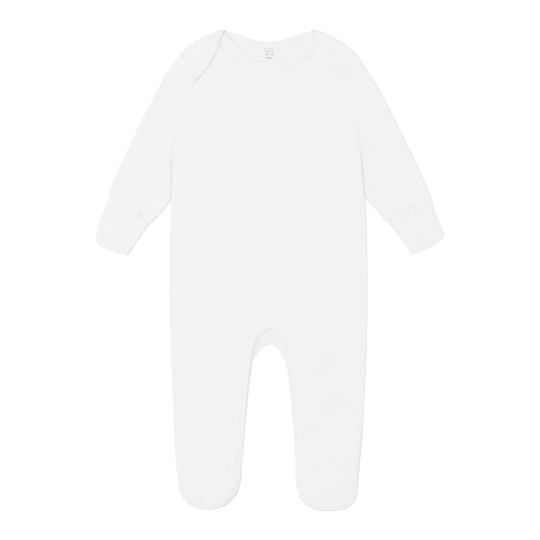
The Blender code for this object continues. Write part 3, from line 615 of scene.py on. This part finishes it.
def steps_between(*stops):
    """Parameter values: each stop is (value, number of even steps to it from the one before)."""
    values, last = [], 0.0
    for value, steps in stops:
        values.append(np.linspace(last, value, steps + 1)[1:])
        last = value
    return np.concatenate(values)


NECK_SHARE = 0.5  # columns up to here end at the neck, the rest at the shoulder
ARM_AT, CROTCH_AT, LEG_AT = 0.22, 0.62, 0.72  # rows at the armpit, crotch and top of the leg
ARCH_FROM, ARCH_TO = 0.06, 0.94  # columns of the instep seam's ends
BAND_AT, FLAP_AT, DEEPEST_AT = 0.195, 0.31, 0.44  # the flap's band and the deepest place
ARMPIT_AT = 0.34  # row of the sleeve at the armpit
BODY_REACH = 0.45  # how much of its length the neck's and the insteps' curves reach into a panel
FRONT_COLUMNS = 68


def curve_length(line):
    """The length of a polyline."""
    return float(np.linalg.norm(np.diff(line, axis=0), axis=1).sum())


# ---------------------------------------------------------------- body
OVER_BAND = 1.4  # the front rises this much over the opening's band
SIDE_SEAM_IN = 3.5  # the side seam shows this far inside the edge
OPENING_HEM = 7.8  # the opening's stitching, from the front's edge at the arch
LEG_HEM = 4.6  # and down the legs
# Depth of the armhole's groove above and below its deepest place.
ARMHOLE_GROOVE = {-1: (0.12, 0.12), 1: (0.12, 0.55)}


def free_of_body(down, sign):
    """1 where a sleeve and the body's side stand up as usual, 0 where the right ones press each
    other flat."""
    return 1.0 if sign > 0 else smoothstep((down - 188.0) / 34.0)


def opening_stitch_line():
    """The stitching of the opening from foot to foot, in (x, down): beside the front's edge, and
    closer to it down the legs."""
    right, left = [resample(np.vstack([smooth_line(o["front_crotch"]),
                                       smooth_line(o["front_inner_leg"])[1:]]), 161) * (o["sign"], 1)
                   for o in OUTLINES.values()]
    edge = np.vstack([right[::-1], left[1:]])
    share = smoothstep(np.abs(np.linspace(-1.0, 1.0, len(edge))) / 0.35)[:, None]
    return offset(edge, OPENING_HEM) * (1 - share) + offset(edge, LEG_HEM) * share


def front_panel():
    """Body and both legs, from the neck band's seam to the instep seams."""
    cloth = Cloth()
    bands = np.vstack([smooth_line(o["crotch"] + o["inner_leg"][1:]) * (o["sign"], 1)
                       for o in OUTLINES.values()])
    neck = offset(smooth_line(FRONT_NECKLINE), -(FRONT_NECK_BAND + GAP))
    neck[0, 0] = 0.0
    fold = np.vstack(shoulder_fold())
    fold = fold[fold[:, 0] > neck[-1, 0] + 3.0]
    rows = steps_between((ARM_AT, 76), (CROTCH_AT, 104), (LEG_AT, 36), (1.0, 84))
    v = np.append(0.0, rows)[:, None]
    for outline in OUTLINES.values():
        sign = outline["sign"]
        top = path((neck, NECK_SHARE), (np.vstack([neck[-1:], fold[::12], fold[-1:]]), 1.0))
        leg = shorten(smooth_line(outline["front_inner_leg"]), tail=2 * GAP)
        inner = path(([neck[0], outline["front_crotch"][0]], CROTCH_AT),
                     (outline["front_crotch"], LEG_AT), (leg[::4], 1.0))
        edge = shorten(offset(smooth_line(outline["side"]), -CLOTH / 2), tail=2 * GAP)
        armhole = armhole_line(outline)
        outer = path((armhole, ARM_AT), (np.vstack([armhole(1.0), edge[3::3]]), 1.0))
        arch = instep(outline, GAP / 2)
        bottom = path(([inner(1.0), arch[0]], ARCH_FROM), (arch, ARCH_TO),
                      ([arch[-1], outer(1.0)], 1.0))

        width = np.linalg.norm(outer(v) - inner(v), axis=-1)
        ends = leg_profile(outer(v)[..., 1])
        below_arm = smoothstep((v - ARM_AT) / 0.03)
        at_side = FRONT_Z + RIDGE * free_of_body(outer(v)[..., 1], sign)
        level_at_side = at_side + (FOOT_Z - at_side) * ends
        bend = np.maximum((level_at_side - FRONT_Z + CLOTH / 2) * below_arm, CLOTH) / width
        turn = np.linspace(0.0, math.pi / 2, 6)
        u = np.concatenate(
            [eased(FRONT_COLUMNS)[:-1] * (1 - bend), 1 - bend * (1 - np.sin(turn))], 1)
        rows_of = v + 0 * u
        plan = coons(u, rows_of, inner, outer, top, bottom, BODY_REACH)

        over_band = near(distance_to(plan * (sign, 1.0), bands), INNER_LEG_BAND, 82.0)
        level = FRONT_Z + OVER_BAND * over_band
        ridge = RIDGE * free_of_body(plan[..., 1], sign)
        level = level + ridge * near((1 - u) * width, RIDGE_NEAR, RIDGE_FAR) * below_arm
        lifted = level + (FOOT_Z - level) * leg_profile(plan[..., 1])
        at_foot = smoothstep((plan[..., 1] - 504.0) / 24.0)
        on_leg = rows_of > LEG_AT
        # Down the inner leg the edge stays low, and at the foot it rounds over like the sole.
        z = lifted + (level - lifted) * near(u * width, 0.0, 9.0) * on_leg * (1 - at_foot)
        radius = (FOOT_Z - BACK_Z) / 2
        short = np.maximum(radius - u * width, 0.0)
        z = z - at_foot * on_leg * (radius - np.sqrt(radius**2 - short**2))
        fall = np.concatenate([np.zeros(FRONT_COLUMNS - 1), 1 - np.cos(turn)])
        z = z - fall * (z - SIDE_EDGE_Z) * below_arm

        arm = armhole(np.linspace(0.0, 1.0, 121))
        deepest = int(120 * DEEPEST_AT)
        above, below = ARMHOLE_GROOVE[sign]
        seams = [
            (neck, 0.16, 1.2), (arm[:deepest], above, 1.4), (arm[deepest:], below, 1.6),
            (instep(outline), 0.10, 1.2), (offset(edge, -SIDE_SEAM_IN), 0.16, 0.9),
            (opening_stitch_line() * (sign, 1), 0.16, 1.1),
        ]
        if sign > 0:
            beside = edge[(edge[:, 1] > 142.0) & (edge[:, 1] < 196.0)]
            seams.append((beside, 0.7, 1.8))
        z = z - grooves(plan, seams)
        cloth.grid(plan, z, sign)
    return cloth.build("front_panel", BODY_COTTON)


def back_panel():
    """The layer on the table, with the shoulder flaps that fold to the front."""
    cloth = Cloth()
    neck_seam, flap_end = back_neck_seam(0.0), flap_seam(0.0)
    fold = shoulder_fold()[1]
    along, ahead = path((fold, 1.0)), path((offset(fold, 1.0), 1.0))
    share = eased(36)
    outward = ahead(share) - along(share)
    radius = (FLAP_Z - BACK_Z) / 2
    turn = HALF_TURN
    bulge = radius * np.sin(turn)
    fold_plan = along(share) + outward * bulge[:, None, None]
    rise = (1 - np.cos(turn))[:, None] / 2
    for outline in OUTLINES.values():
        sign = outline["sign"]
        top = path((neck_seam, NECK_SHARE), (fold, 1.0))
        leg = resample(until(smooth_line(outline["inner_leg"]), HEEL_DOWN), 61)
        side = resample(until(smooth_line(outline["side"]), HEEL_DOWN), 61)
        inner = path(([neck_seam(0.0), outline["crotch"][0]], CROTCH_AT),
                     (outline["crotch"], LEG_AT), (leg[::4], 1.0))
        armhole = armhole_line(outline)
        outer = path((armhole, ARM_AT), (side[::4], 1.0))
        bottom = path(([inner(1.0), outer(1.0)], 1.0))
        columns = np.concatenate([eased(30) * NECK_SHARE,
                                  NECK_SHARE + share[1:] * (1 - NECK_SHARE)])
        rows = np.append(0.0, steps_between((ARM_AT, 40), (CROTCH_AT, 50), (LEG_AT, 20),
                                            (1.0, 36)))
        u, v = np.meshgrid(columns, rows)
        plan = coons(u, v, inner, outer, top, bottom, BODY_REACH)
        cloth.grid(plan, BACK_Z + 0 * u, sign, creased=0.0)

        lift = relief(sign * fold_plan[..., 0], fold_plan[..., 1]) * rise
        cloth.grid(fold_plan, BACK_Z + 2 * radius * rise + lift, sign, creased=0.0)
        corner = path(([fold[0], fold[0]], 1.0))
        down_arm = path((armhole(np.linspace(0.0, BAND_AT, 21)), 1.0))
        q, w = np.meshgrid(share, eased(22))
        flap = coons(q, w, corner, down_arm, along, flap_end)
        seams = [(flap_end(np.linspace(0, 1, 61)), 0.08, 1.1),
                 (down_arm(np.linspace(0, 1, 31)), 0.12, 1.3)]
        away = smoothstep(distance_to(flap, fold) / 2.0)
        cloth.grid(flap, FLAP_Z - grooves(flap, seams) * away, sign)
    return cloth.build("back_panel", BODY_COTTON)


def ribbon(edge, seam, stations, steps):
    """Plan points across a band, from its edge to its seam."""
    across = eased(steps)[None, :, None]
    return edge(stations)[:, None] * (1 - across) + seam(stations)[:, None] * across


def band_height(plan, edge, seam, rolled=0.35):
    """How far a doubled band drops at its edge and at its seam, below its plump middle."""
    at_edge = rolled * np.exp(-((distance_to(plan, edge) / 0.9) ** 2))
    at_seam = 0.14 * np.exp(-((distance_to(plan, seam) / 1.2) ** 2))
    return 0.05 - at_edge - at_seam


def neck_band_front():
    """The doubled band along the front of the neck, from shoulder to shoulder."""
    cloth = Cloth()
    edge = smooth_line(FRONT_NECKLINE, 121)
    seam = offset(edge, -FRONT_NECK_BAND)
    seam[0, 0] = 0.0
    plan = ribbon(path((edge, 1.0)), path((seam, 1.0)), np.linspace(0, 1, 90), 15)
    for outline in OUTLINES.values():
        cloth.grid(plan, FRONT_Z + band_height(plan, edge, seam), outline["sign"])
    return cloth.build("neck_band_front", BAND_COTTON,
                       edge=BAND_EDGE_TURN)


SHOULDER_ROUND = 3.0  # the fold's end is rounded off over this length


def neck_band_back():
    """The doubled band round the back of the neck, over both shoulders and down the flaps."""
    fold = shoulder_fold()[0]
    neck_edge = smooth_line(BACK_NECKLINE)[:-3]
    neck_edge = path((np.vstack([neck_edge[::8], fold[:1]]), 1.0))
    flap_edge = smooth_line(FLAP_EDGE)[4:]
    steps = 11
    seam = back_neck_seam(GAP)
    neck = ribbon(neck_edge, seam, np.linspace(0, 1, 60), steps)
    along, ahead = path((fold, 1.0)), path((offset(fold, 1.0), 1.0))
    across = eased(steps)
    neck[-1] = along(across)
    radius = (FLAP_Z - BACK_Z) / 2
    turn = HALF_TURN
    from_neck = np.linalg.norm(along(across) - fold[0], axis=1)
    rounded = np.sqrt(1 - (1 - np.clip(from_neck / SHOULDER_ROUND, 0.0, 1.0)) ** 2)
    turned = (radius * np.sin(turn))[:, None, None] * rounded[:, None]
    fold_plan = along(across) + (ahead(across) - along(across)) * turned
    rise = (1 - np.cos(turn))[:, None] / 2
    cloth = Cloth()
    for outline in OUTLINES.values():
        sign = outline["sign"]
        cloth.grid(neck, BACK_Z + 0 * neck[..., 0], sign, creased=0.0)
        end = armhole_line(outline)(FLAP_AT)
        edge = path((np.vstack([fold[:1], flap_edge[4:-4:6], end[None]]), 1.0))
        flap_line = flap_seam(GAP)
        flap = ribbon(edge, flap_line, np.linspace(0, 1, 60), steps)
        flap[0] = along(across)
        s = np.linspace(0, 1, 81)
        drop = band_height(flap, edge(s), flap_line(s))
        drop = drop * smoothstep(distance_to(flap, fold) / 2.0)
        lift = relief(sign * fold_plan[..., 0], fold_plan[..., 1]) * rise
        cloth.grid(fold_plan, BACK_Z + (FLAP_Z - BACK_Z) * rise + lift, sign, creased=0.0)
        cloth.grid(flap, FLAP_Z + drop, sign)
    return cloth.build("neck_band_back", BAND_COTTON,
                       edge=BAND_EDGE_TURN)


# ---------------------------------------------------------------- sleeves and cuffs
SLEEVE_CLOSE = {-1: 0.7, 1: 0.15}  # how much nearer to the body than its outline a sleeve lies
SLEEVE_PUFF = {-1: 0.0, 1: 0.9}  # how far a sleeve stands up beside the lower armhole
CUFF_CLOTH = 1.3  # wall of the doubled cuff
CUFF_GROOVE = {-1: 0.08, 1: 0.30}
# Where each cuff's seam is pinched in: (points, depth, half width).
CUFF_TUCKS = {-1: (np.array([[149.6, 214.4], [152.9, 221.6]]), 1.9, 0.9),
              1: (np.array([[166.6, 211.0], [169.6, 209.9]]), 1.0, 1.2)}


def cuff_seam(outline, moved):
    """The seam between sleeve and cuff at the cloth's middle, moved towards the hand."""
    return offset(shorten(smooth_line(outline["cuff_seam"]), CLOTH / 2, CLOTH / 2), moved)


def flat_tube(cloth, sign, plan_of, width_of, top_z, rows, stations, armpit=None):
    """A tube pressed flat, its two layers joined by a half-round fold at each side. Before the
    row armpit the inner side is open, because it is sewn to the body there."""
    v = rows[:, None]
    width = width_of(v)
    outer_radius, inner_radius = [(top_z(e + 0 * v, v) - BACK_Z) / 2 for e in (0.0, 1.0)]
    folded = np.ones(v.shape) if armpit is None else (v > armpit + 1e-9) * 1.0
    outer_bend, inner_bend = outer_radius / width, inner_radius / width * folded
    turn = HALF_TURN
    flat = outer_bend + (1 - outer_bend - inner_bend) * stations
    rows_of = v + 0 * flat
    plan = plan_of(flat, rows_of)
    raised = relief(sign * plan[..., 0], plan[..., 1])
    cloth.grid(plan, top_z(flat, rows_of) + raised, sign, creased=0.0)
    cloth.grid(plan, BACK_Z + 0 * flat, sign, creased=0.0)
    u = outer_bend * (1 - np.sin(turn))
    top = top_z(outer_bend, v) + raised[:, :1]
    cloth.grid(plan_of(u, v + 0 * u), BACK_Z + (top - BACK_Z) * (1 - np.cos(turn)) / 2, sign,
               creased=0.0)
    first = 0 if armpit is None else int(np.argmin(np.abs(rows - armpit)))
    u = 1 - inner_bend * (1 - np.sin(turn))
    top = top_z(1 - inner_bend, v) + raised[:, -1:]
    z = BACK_Z + (top - BACK_Z) * (1 - np.cos(turn)) / 2
    cloth.grid(plan_of(u, v + 0 * u)[first:], z[first:], sign, creased=0.0)


def sleeve(name, outline):
    """A sleeve from the armhole to the cuff's seam, lying beside the body."""
    sign = outline["sign"]
    armhole = armhole_line(outline)
    shift = (GAP + 0.06, 0.0)
    outer_line = offset(smooth_line(outline["sleeve_outer"]), -CLOTH / 2)
    outer_line[0] = np.array(SHOULDER[-1]) + (0.1, CLOTH / 2)
    inner_line = smooth_line(outline["sleeve_inner"] + outline["underarm"][1:])
    inner_line = inner_line + (GAP + CLOTH / 2 - SLEEVE_CLOSE[sign], 0.0)
    inner_line[0] = armhole(1.0) + shift + (CLOTH / 2, 0.0)
    seam = cuff_seam(outline, -GAP / 2)
    outer_line = np.vstack([outer_line[:-3], seam[:1]])
    inner_line = np.vstack([inner_line[:-3], seam[-1:]])

    def cap(s):
        return armhole(s * DEEPEST_AT) + shift

    def under(s):
        return armhole(DEEPEST_AT + s * (1 - DEEPEST_AT)) + shift

    outer, inner = path((outer_line, 1.0)), path((under, ARMPIT_AT), (inner_line, 1.0))
    bottom = path((seam[::6], 1.0))

    def width_of(v):
        return np.linalg.norm(outer(v) - inner(v), axis=-1)

    shoulder_bend = (FLAP_Z - BACK_Z) / 2 / float(width_of(0.0))
    top = path(([outer(0.0), cap(0.0)], shoulder_bend), (cap, 1.0))
    arm = armhole(np.linspace(0.0, 1.0, 121)) + shift
    deepest = int(120 * DEEPEST_AT)
    above, below = ARMHOLE_GROOVE[sign]
    seams = [(arm[:deepest], above, 1.4), (arm[deepest:], below, 1.4),
             (seam, CUFF_GROOVE[sign], 1.4), CUFF_TUCKS[sign]]

    def plan_of(u, v):
        return coons(u, v, outer, inner, top, bottom)

    def top_z(u, v):
        ridge = near(u * width_of(v), RIDGE_NEAR, RIDGE_FAR)
        inside = near((1 - u) * width_of(v), RIDGE_NEAR, RIDGE_FAR)
        plan = plan_of(u, v + 0 * u)
        inside = inside * free_of_body(plan[..., 1], sign)
        ridge = RIDGE * np.maximum(ridge, inside * smoothstep((v - ARMPIT_AT) / 0.1))
        shoulder = near(plan[..., 1], 56.0, 68.0) * near(v, 0.0, 0.4)
        puff = SLEEVE_PUFF[sign] * near(distance_to(plan, arm[deepest:]), 1.5, 14.0)
        puff = puff * smoothstep((plan[..., 1] - 96.0) / 40.0) * near(v, ARMPIT_AT, 0.6)
        level = FRONT_Z + np.maximum(ridge, puff) * (1 - shoulder)
        return level + (LAYER + 0.1) * shoulder - grooves(plan, seams)

    rows = np.append(0.0, steps_between((ARMPIT_AT, 44), (0.88, 58), (0.97, 20), (1.0, 10)))
    cloth = Cloth()
    flat_tube(cloth, sign, plan_of, width_of, top_z, rows, eased(48, ends=0.0), armpit=ARMPIT_AT)
    lean = math.atan2(outer_line[-1, 0] - outer_line[0, 0], outer_line[-1, 1] - outer_line[0, 1])
    return cloth.build(f"sleeve_{name}", SLEEVE_COTTON,
                       grain=-sign * lean)


def cuff(name, outline):
    """The doubled cuff past the sleeve's seam, open at the hand."""
    sign = outline["sign"]
    seam, end = cuff_seam(outline, GAP / 2), smooth_line(outline["cuff_end"])
    outer = offset(smooth_line(outline["cuff_outer"]), -CLOTH / 2)
    inner = offset(smooth_line(outline["cuff_inner"]), CLOTH / 2)
    outer = path((np.vstack([seam[:1], outer[4::4]]), 1.0))
    inner = path((np.vstack([seam[-1:], inner[4::4]]), 1.0))
    top = path((seam[::6], 1.0))
    bottom = path((np.vstack([outer(1.0), end[6:-6:6], inner(1.0)]), 1.0))
    seams = [(seam, CUFF_GROOVE[sign], 1.4), (end, 0.4, 1.2), CUFF_TUCKS[sign]]

    def plan_of(u, v):
        return coons(u, v, outer, inner, top, bottom)

    def width_of(v):
        return np.linalg.norm(outer(v) - inner(v), axis=-1)

    def top_z(u, v):
        plan = plan_of(u, v + 0 * u)
        return FRONT_Z + RIDGE + 0.25 - grooves(plan, seams)

    cloth = Cloth()
    flat_tube(cloth, sign, plan_of, width_of, top_z, eased(60), eased(48, ends=0.0))
    lean = math.atan2(end[0, 0] - seam[0, 0], end[0, 1] - seam[0, 1])
    return cloth.build(f"cuff_{name}", SLEEVE_COTTON,
                       grain=-sign * lean, wall=CUFF_CLOTH)


# ---------------------------------------------------------------- inner leg and feet
def inner_leg_band():
    """The band of the opening, from ankle to ankle, under the front."""
    cloth = Cloth()
    for outline in OUTLINES.values():
        edge = path((outline["crotch"], 0.3), (outline["inner_leg"], 1.0))
        s = np.concatenate([np.linspace(0.0, 0.3, 34)[:-1], np.linspace(0.3, 0.9, 66)])
        line = edge(s)
        moved = offset(line, INNER_LEG_BAND)
        moved[0] = line[0] - np.array([0.0, INNER_LEG_BAND])
        across = eased(15)[None, :, None]
        plan = line[:, None] * (1 - across) + moved[:, None] * across
        drop = 0.35 * np.exp(-((distance_to(plan, line) / 0.9) ** 2))
        drop = drop + 0.2 * np.exp(-((distance_to(plan, offset(line, 3.0)) / 0.9) ** 2))
        z = BACK_Z + LAYER + 0.12 - drop
        cloth.grid(plan, z, outline["sign"], creased=0.3)
    return cloth.build("inner_leg_band", BAND_COTTON)


def disc(centre, boundary, rings):
    """Rings of plan points shrinking from a closed boundary to its centre."""
    return centre + (boundary[None] - centre) * np.asarray(rings)[:, None, None]


def gathers(plan, line, height=0.16, pitch=5.5, reach=5.0):
    """Small puckers square to a gathered seam: a sine along it that dies away from it."""
    apart = plan[..., None, :] - line
    away = np.sqrt((apart**2).sum(-1))
    nearest = away.argmin(-1)
    along = np.concatenate([[0.0], np.cumsum(np.linalg.norm(np.diff(line, axis=0), axis=1))])
    wave = np.sin(2 * math.pi * along[nearest] / pitch + 0.9 * np.sin(along[nearest] / 7.0))
    return height * wave * np.exp(-away.min(-1) / reach) * smoothstep(away.min(-1) / 1.0)


def foot_upper(name, outline):
    """The top of the foot, from the instep seam to the seam with the sole."""
    toe = outline["toe"]
    inset = SOLE_LAP + GAP / 2
    angles = np.linspace(0.0, math.pi, 91)
    ring = superellipse(toe, inset, angles)
    arch = path((instep(outline) + (0.0, GAP / 2), 1.0))(np.linspace(0, 1, 61))
    boundary = np.vstack([ring, arch[1:-1]])
    centre = np.array([toe["centre"], INSTEP_DOWN + 6.0])
    rings = np.linspace(1.0, 0.0, 26) ** 0.8
    plan = disc(centre, boundary, rings)
    away = distance_to(plan, boundary)
    z = FOOT_Z + LOFT + FOOT_DOME * (1 - rings[:, None] ** 2) - 0.08 * np.exp(-((away / 1.2) ** 2))
    z = z + gathers(plan, arch) + gathers(plan, ring, height=0.12)
    cloth = Cloth()
    cloth.grid(plan, z, outline["sign"], closed=True)
    return cloth.build(f"foot_upper_{name}", FOOT_COTTON_PAINTED_SHADE)


RIM_FALL, FALL_REACH = 0.5, 6.5  # the foot's top falls this much towards its outline
PRESSED_RIM = {"right": 2.7}  # and the right one is pressed in this much more at its inner side
PRESSED_AT = 2.45  # the angle of that place


def sole(name, outline):
    """The sole: flat on the table, its edge coming up and over the rim of the foot."""
    toe = outline["toe"]
    radius = (FOOT_Z - BACK_Z) / 2
    inset = radius + CLOTH / 2
    angles = np.linspace(0.0, math.pi, 91)
    base = superellipse(toe, inset, angles)
    heel_out = until(smooth_line(outline["side"]), HEEL_DOWN + GAP)[-1] - (1.5, 0.0)
    heel_in = until(smooth_line(outline["inner_leg"]), HEEL_DOWN + GAP)[-1] + (1.5, 0.0)
    boundary = np.vstack([base, resample(np.array([base[-1], heel_in]), 12)[1:-1],
                          resample(np.array([heel_in, heel_out]), 30),
                          resample(np.array([heel_out, base[0]]), 12)[1:-1]])
    plan = disc(np.array([toe["centre"], INSTEP_DOWN]), boundary, np.linspace(1.0, 0.0, 9))
    cloth = Cloth()
    cloth.grid(plan, BACK_Z + 0 * plan[..., 0], outline["sign"], closed=True, creased=0.0)

    turn = np.linspace(0.0, math.pi, 17)
    insets = np.append(inset - radius * np.sin(turn), np.linspace(inset, SOLE_LAP - GAP / 2, 6)[1:])
    share = np.append((1 - np.cos(turn)) / 2, np.ones(5))
    rim = np.stack([superellipse(toe, i, angles) for i in insets])
    seam = superellipse(toe, SOLE_LAP, angles)
    top = FOOT_Z + LOFT - 0.08 * np.exp(-((distance_to(rim, seam) / 1.2) ** 2))
    pressed = RIM_FALL + PRESSED_RIM.get(name, 0.0) * near(np.abs(angles - PRESSED_AT), 0.25, 0.75)
    top = top - pressed * np.maximum(1 - insets / FALL_REACH, 0.0)[:, None] ** 2
    top = top + gathers(rim, seam, height=0.14, reach=3.0)
    z = BACK_Z + (top - BACK_Z) * share[:, None]
    cloth.grid(rim, z, outline["sign"], creased=0.0)
    return cloth.build(f"sole_{name}", FOOT_COTTON_PAINTED_SHADE)


# ---------------------------------------------------------------- stitching and print
STITCH_LENGTH, STITCH_WIDTH, STITCH_HEIGHT, STITCH_PITCH = 2.2, 0.36, 0.22, 2.8


def visible_rows():
    """The rows of stitches that show, as lines of (x, down)."""
    found = [shorten(opening_stitch_line(), head=8.0, tail=8.0)]
    flap_line = smooth_line(FLAP_EDGE, 121)
    for outline in OUTLINES.values():
        side = np.array([outline["sign"], 1.0])
        neck = offset(smooth_line(FRONT_NECKLINE, 121), -(FRONT_NECK_BAND + GAP + 1.4))
        under_flap = np.interp(neck[:, 1], flap_line[:, 1], flap_line[:, 0])
        neck = neck[(neck[:, 0] < under_flap - 1.2) & (neck[:, 0] > 0.0)]
        found.append(neck * side)
        back = back_neck_seam(1.6)(np.linspace(0.02, 0.86, 90))
        front = smooth_line(FRONT_NECKLINE, 121)
        seen = back[:, 1] < np.interp(back[:, 0], front[:, 0], front[:, 1]) - 1.5
        found.append(back[seen] * side)
        found.append(flap_seam(1.5)(np.linspace(0.05, 0.97, 90)) * side)
        found.append(shorten(cuff_seam(outline, -1.8), 3.0, 3.0) * side)
        found.append(shorten(cuff_seam(outline, 1.8), 3.0, 3.0) * side)
    return found


def stitches():
    """Lockstitches: each a low lozenge of thread, sunk into the cloth that a ray from above finds."""
    graph = bpy.context.evaluated_depsgraph_get()
    spots, ways = [], []
    for line in visible_rows():
        count = int(curve_length(line) / STITCH_PITCH) + 1
        row = resample(line, count)
        way = np.gradient(row, axis=0)
        spots.append(row)
        ways.append(way / np.linalg.norm(way, axis=1)[:, None])
    spots, ways = np.vstack(spots), np.vstack(ways)
    x, y = (CENTRE_X + spots[:, 0]) * 0.001, (SHOULDER_Y - spots[:, 1]) * 0.001
    hits = [bpy.context.scene.ray_cast(graph, (a, b, 0.05), (0, 0, -1)) for a, b in zip(x, y)]
    kept = np.array([hit[0] for hit in hits])
    height = np.array([hit[1].z for hit in hits])
    centre = np.stack([x, y, height], axis=-1)[kept]
    along = np.stack([ways[:, 0], -ways[:, 1], 0 * x], axis=-1)[kept]
    side = np.stack([-along[:, 1], along[:, 0], 0 * along[:, 0]], axis=-1)
    up = np.array([0.0, 0.0, 1.0])

    ring = np.linspace(0.0, 2 * math.pi, 7)[:-1]
    stations = np.array([-0.42, 0.0, 0.42])
    plump = np.array([0.75, 1.0, 0.75])
    l, w, h = STITCH_LENGTH * 0.001, STITCH_WIDTH * 0.0005, STITCH_HEIGHT * 0.0005
    body = [
        centre + along * l * s + side * w * p * math.cos(a) + up * h * p * math.sin(a)
        for s, p in zip(stations, plump) for a in ring
    ]
    tips = [centre + along * l * s for s in (-0.5, 0.5)]
    points = np.stack(body + tips, axis=1)
    faces = []
    for k in range(6):
        after = (k + 1) % 6
        faces += [(18, after, k), (12 + k, 12 + after, 19)]
        for row in (0, 6):
            faces += [(row + k, row + after, row + 6 + after), (row + k, row + 6 + after, row + 6 + k)]
    faces = np.array(faces)
    every = (faces[None] + 20 * np.arange(len(points))[:, None, None]).reshape(-1, 3)
    mesh = bpy.data.meshes.new("stitching")
    mesh.from_pydata(points.reshape(-1, 3).tolist(), [], every.tolist())
    mesh.shade_smooth()
    return finish_piece(new_piece(mesh, THREAD))


# Plain bars in the neck, where a size print would be: (out, down, width, height).
PRINT_BARS = [(-2.6, 23.6, 3.2, 0.9), (3.4, 23.6, 5.4, 0.9), (-0.6, 26.6, 7.2, 1.1),
              (6.0, 26.6, 2.6, 1.1), (-1.4, 30.0, 4.6, 2.2), (4.4, 30.0, 4.4, 2.2),
              (0.6, 34.2, 8.4, 2.0)]
PRINT_FILM = 0.10  # thickness of the ink


def neck_print():
    """Heat-pressed bars with rounded corners, a thin film on the inside of the back."""
    points, faces = [], []
    corner = np.linspace(0.0, 2 * math.pi, 25)[:-1]
    for x, down, width, height in PRINT_BARS:
        c, s = np.cos(corner), np.sin(corner)
        out = x + width / 2 * np.sign(c) * np.abs(c) ** 0.35
        low = down + height / 2 * np.sign(s) * np.abs(s) ** 0.35
        plan = np.stack([out, low], axis=-1)
        z = BACK_Z + CLOTH / 2 + 0.01
        first = sum(len(p) for p in points)
        points += [place(plan, np.full(24, z), 1), place(plan, np.full(24, z + PRINT_FILM), 1)]
        below, above = first + np.arange(24), first + 24 + np.arange(24)
        faces += [tuple(below), tuple(above[::-1])]
        faces += list(zip(below, above, np.roll(above, -1), np.roll(below, -1)))
    mesh = bpy.data.meshes.new("neck_print")
    mesh.from_pydata(np.vstack(points).tolist(), [], [[int(i) for i in f] for f in faces])
    work = bmesh.new()
    work.from_mesh(mesh)
    bmesh.ops.recalc_face_normals(work, faces=work.faces)
    work.to_mesh(mesh)
    work.free()
    return finish_piece(new_piece(mesh, INK))


# ---------------------------------------------------------------- studio
VIEW_WIDTH = 0.637  # metres of the table across the frame
LENS, SENSOR = 85.0, 36.0
FLOOR_GLOW = 0.93  # with what the table reflects, this makes it just white
SKY = 0.603  # the even light from all round
# Each softbox: its place and the length of its side in metres, and its watts.
SOFTBOXES = {"overhead": ((-0.6, 0.4, 6.0), 4.0, 180.0), "key": ((-4.6, 1.6, 3.8), 4.5, 37.0)}


def floor():
    """A plain white table, faintly lit from within, so that thin cloth throws almost no shadow."""
    made, tree, shader = start_material("white_light_table")
    shader.inputs["Base Color"].default_value = linear("#5A5A5A")
    shader.inputs["Roughness"].default_value = 1.0
    shader.inputs["Specular IOR Level"].default_value = 0.0
    shader.inputs["Emission Color"].default_value = linear("#FFFFFF")
    shader.inputs["Emission Strength"].default_value = FLOOR_GLOW
    mesh = bpy.data.meshes.new("floor")
    s, z = 3.0, -0.0002
    mesh.from_pydata([(-s, -s, z), (s, -s, z), (s, s, z), (-s, s, z)], [], [(0, 1, 2, 3)])
    new_piece(mesh, made)


def softbox(name, place_at, size, watts):
    """A square softbox aimed at the middle of the garment."""
    light = bpy.data.lights.new(name, "AREA")
    light.shape, light.size, light.energy = "SQUARE", size, watts
    lamp = bpy.data.objects.new(name, light)
    bpy.context.scene.collection.objects.link(lamp)
    lamp.location = place_at
    lamp.rotation_euler = (-lamp.location).to_track_quat("-Z", "Y").to_euler()


def studio():
    """Even light from all round, a key from the left and a little above, and the camera."""
    world = bpy.data.worlds.new("studio")
    bpy.context.scene.world = world
    world.use_nodes = True
    sky = world.node_tree.nodes["Background"]
    sky.inputs["Color"].default_value = (1.0, 1.0, 1.0, 1.0)
    sky.inputs["Strength"].default_value = SKY
    for name, (place_at, size, watts) in SOFTBOXES.items():
        softbox(name, place_at, size, watts)
    camera = bpy.data.cameras.new("camera")
    camera.lens, camera.sensor_width = LENS, SENSOR
    eye = bpy.data.objects.new("camera", camera)
    bpy.context.scene.collection.objects.link(eye)
    eye.location = (0.0, 0.0, VIEW_WIDTH * LENS / SENSOR)
    camera.clip_start, camera.clip_end = 0.05, 20.0
    bpy.context.scene.camera = eye
    bpy.context.scene.view_settings.view_transform = "Standard"


# ---------------------------------------------------------------- the whole garment
def main():
    """Builds the studio, the 13 pieces of cloth, then what is sewn and printed on them."""
    floor()
    studio()
    back_panel()
    front_panel()
    neck_band_front()
    neck_band_back()
    inner_leg_band()
    for name, outline in OUTLINES.items():
        sleeve(name, outline)
        cuff(name, outline)
        foot_upper(name, outline)
        sole(name, outline)
    bpy.context.view_layer.update()
    stitches()
    neck_print()


main()
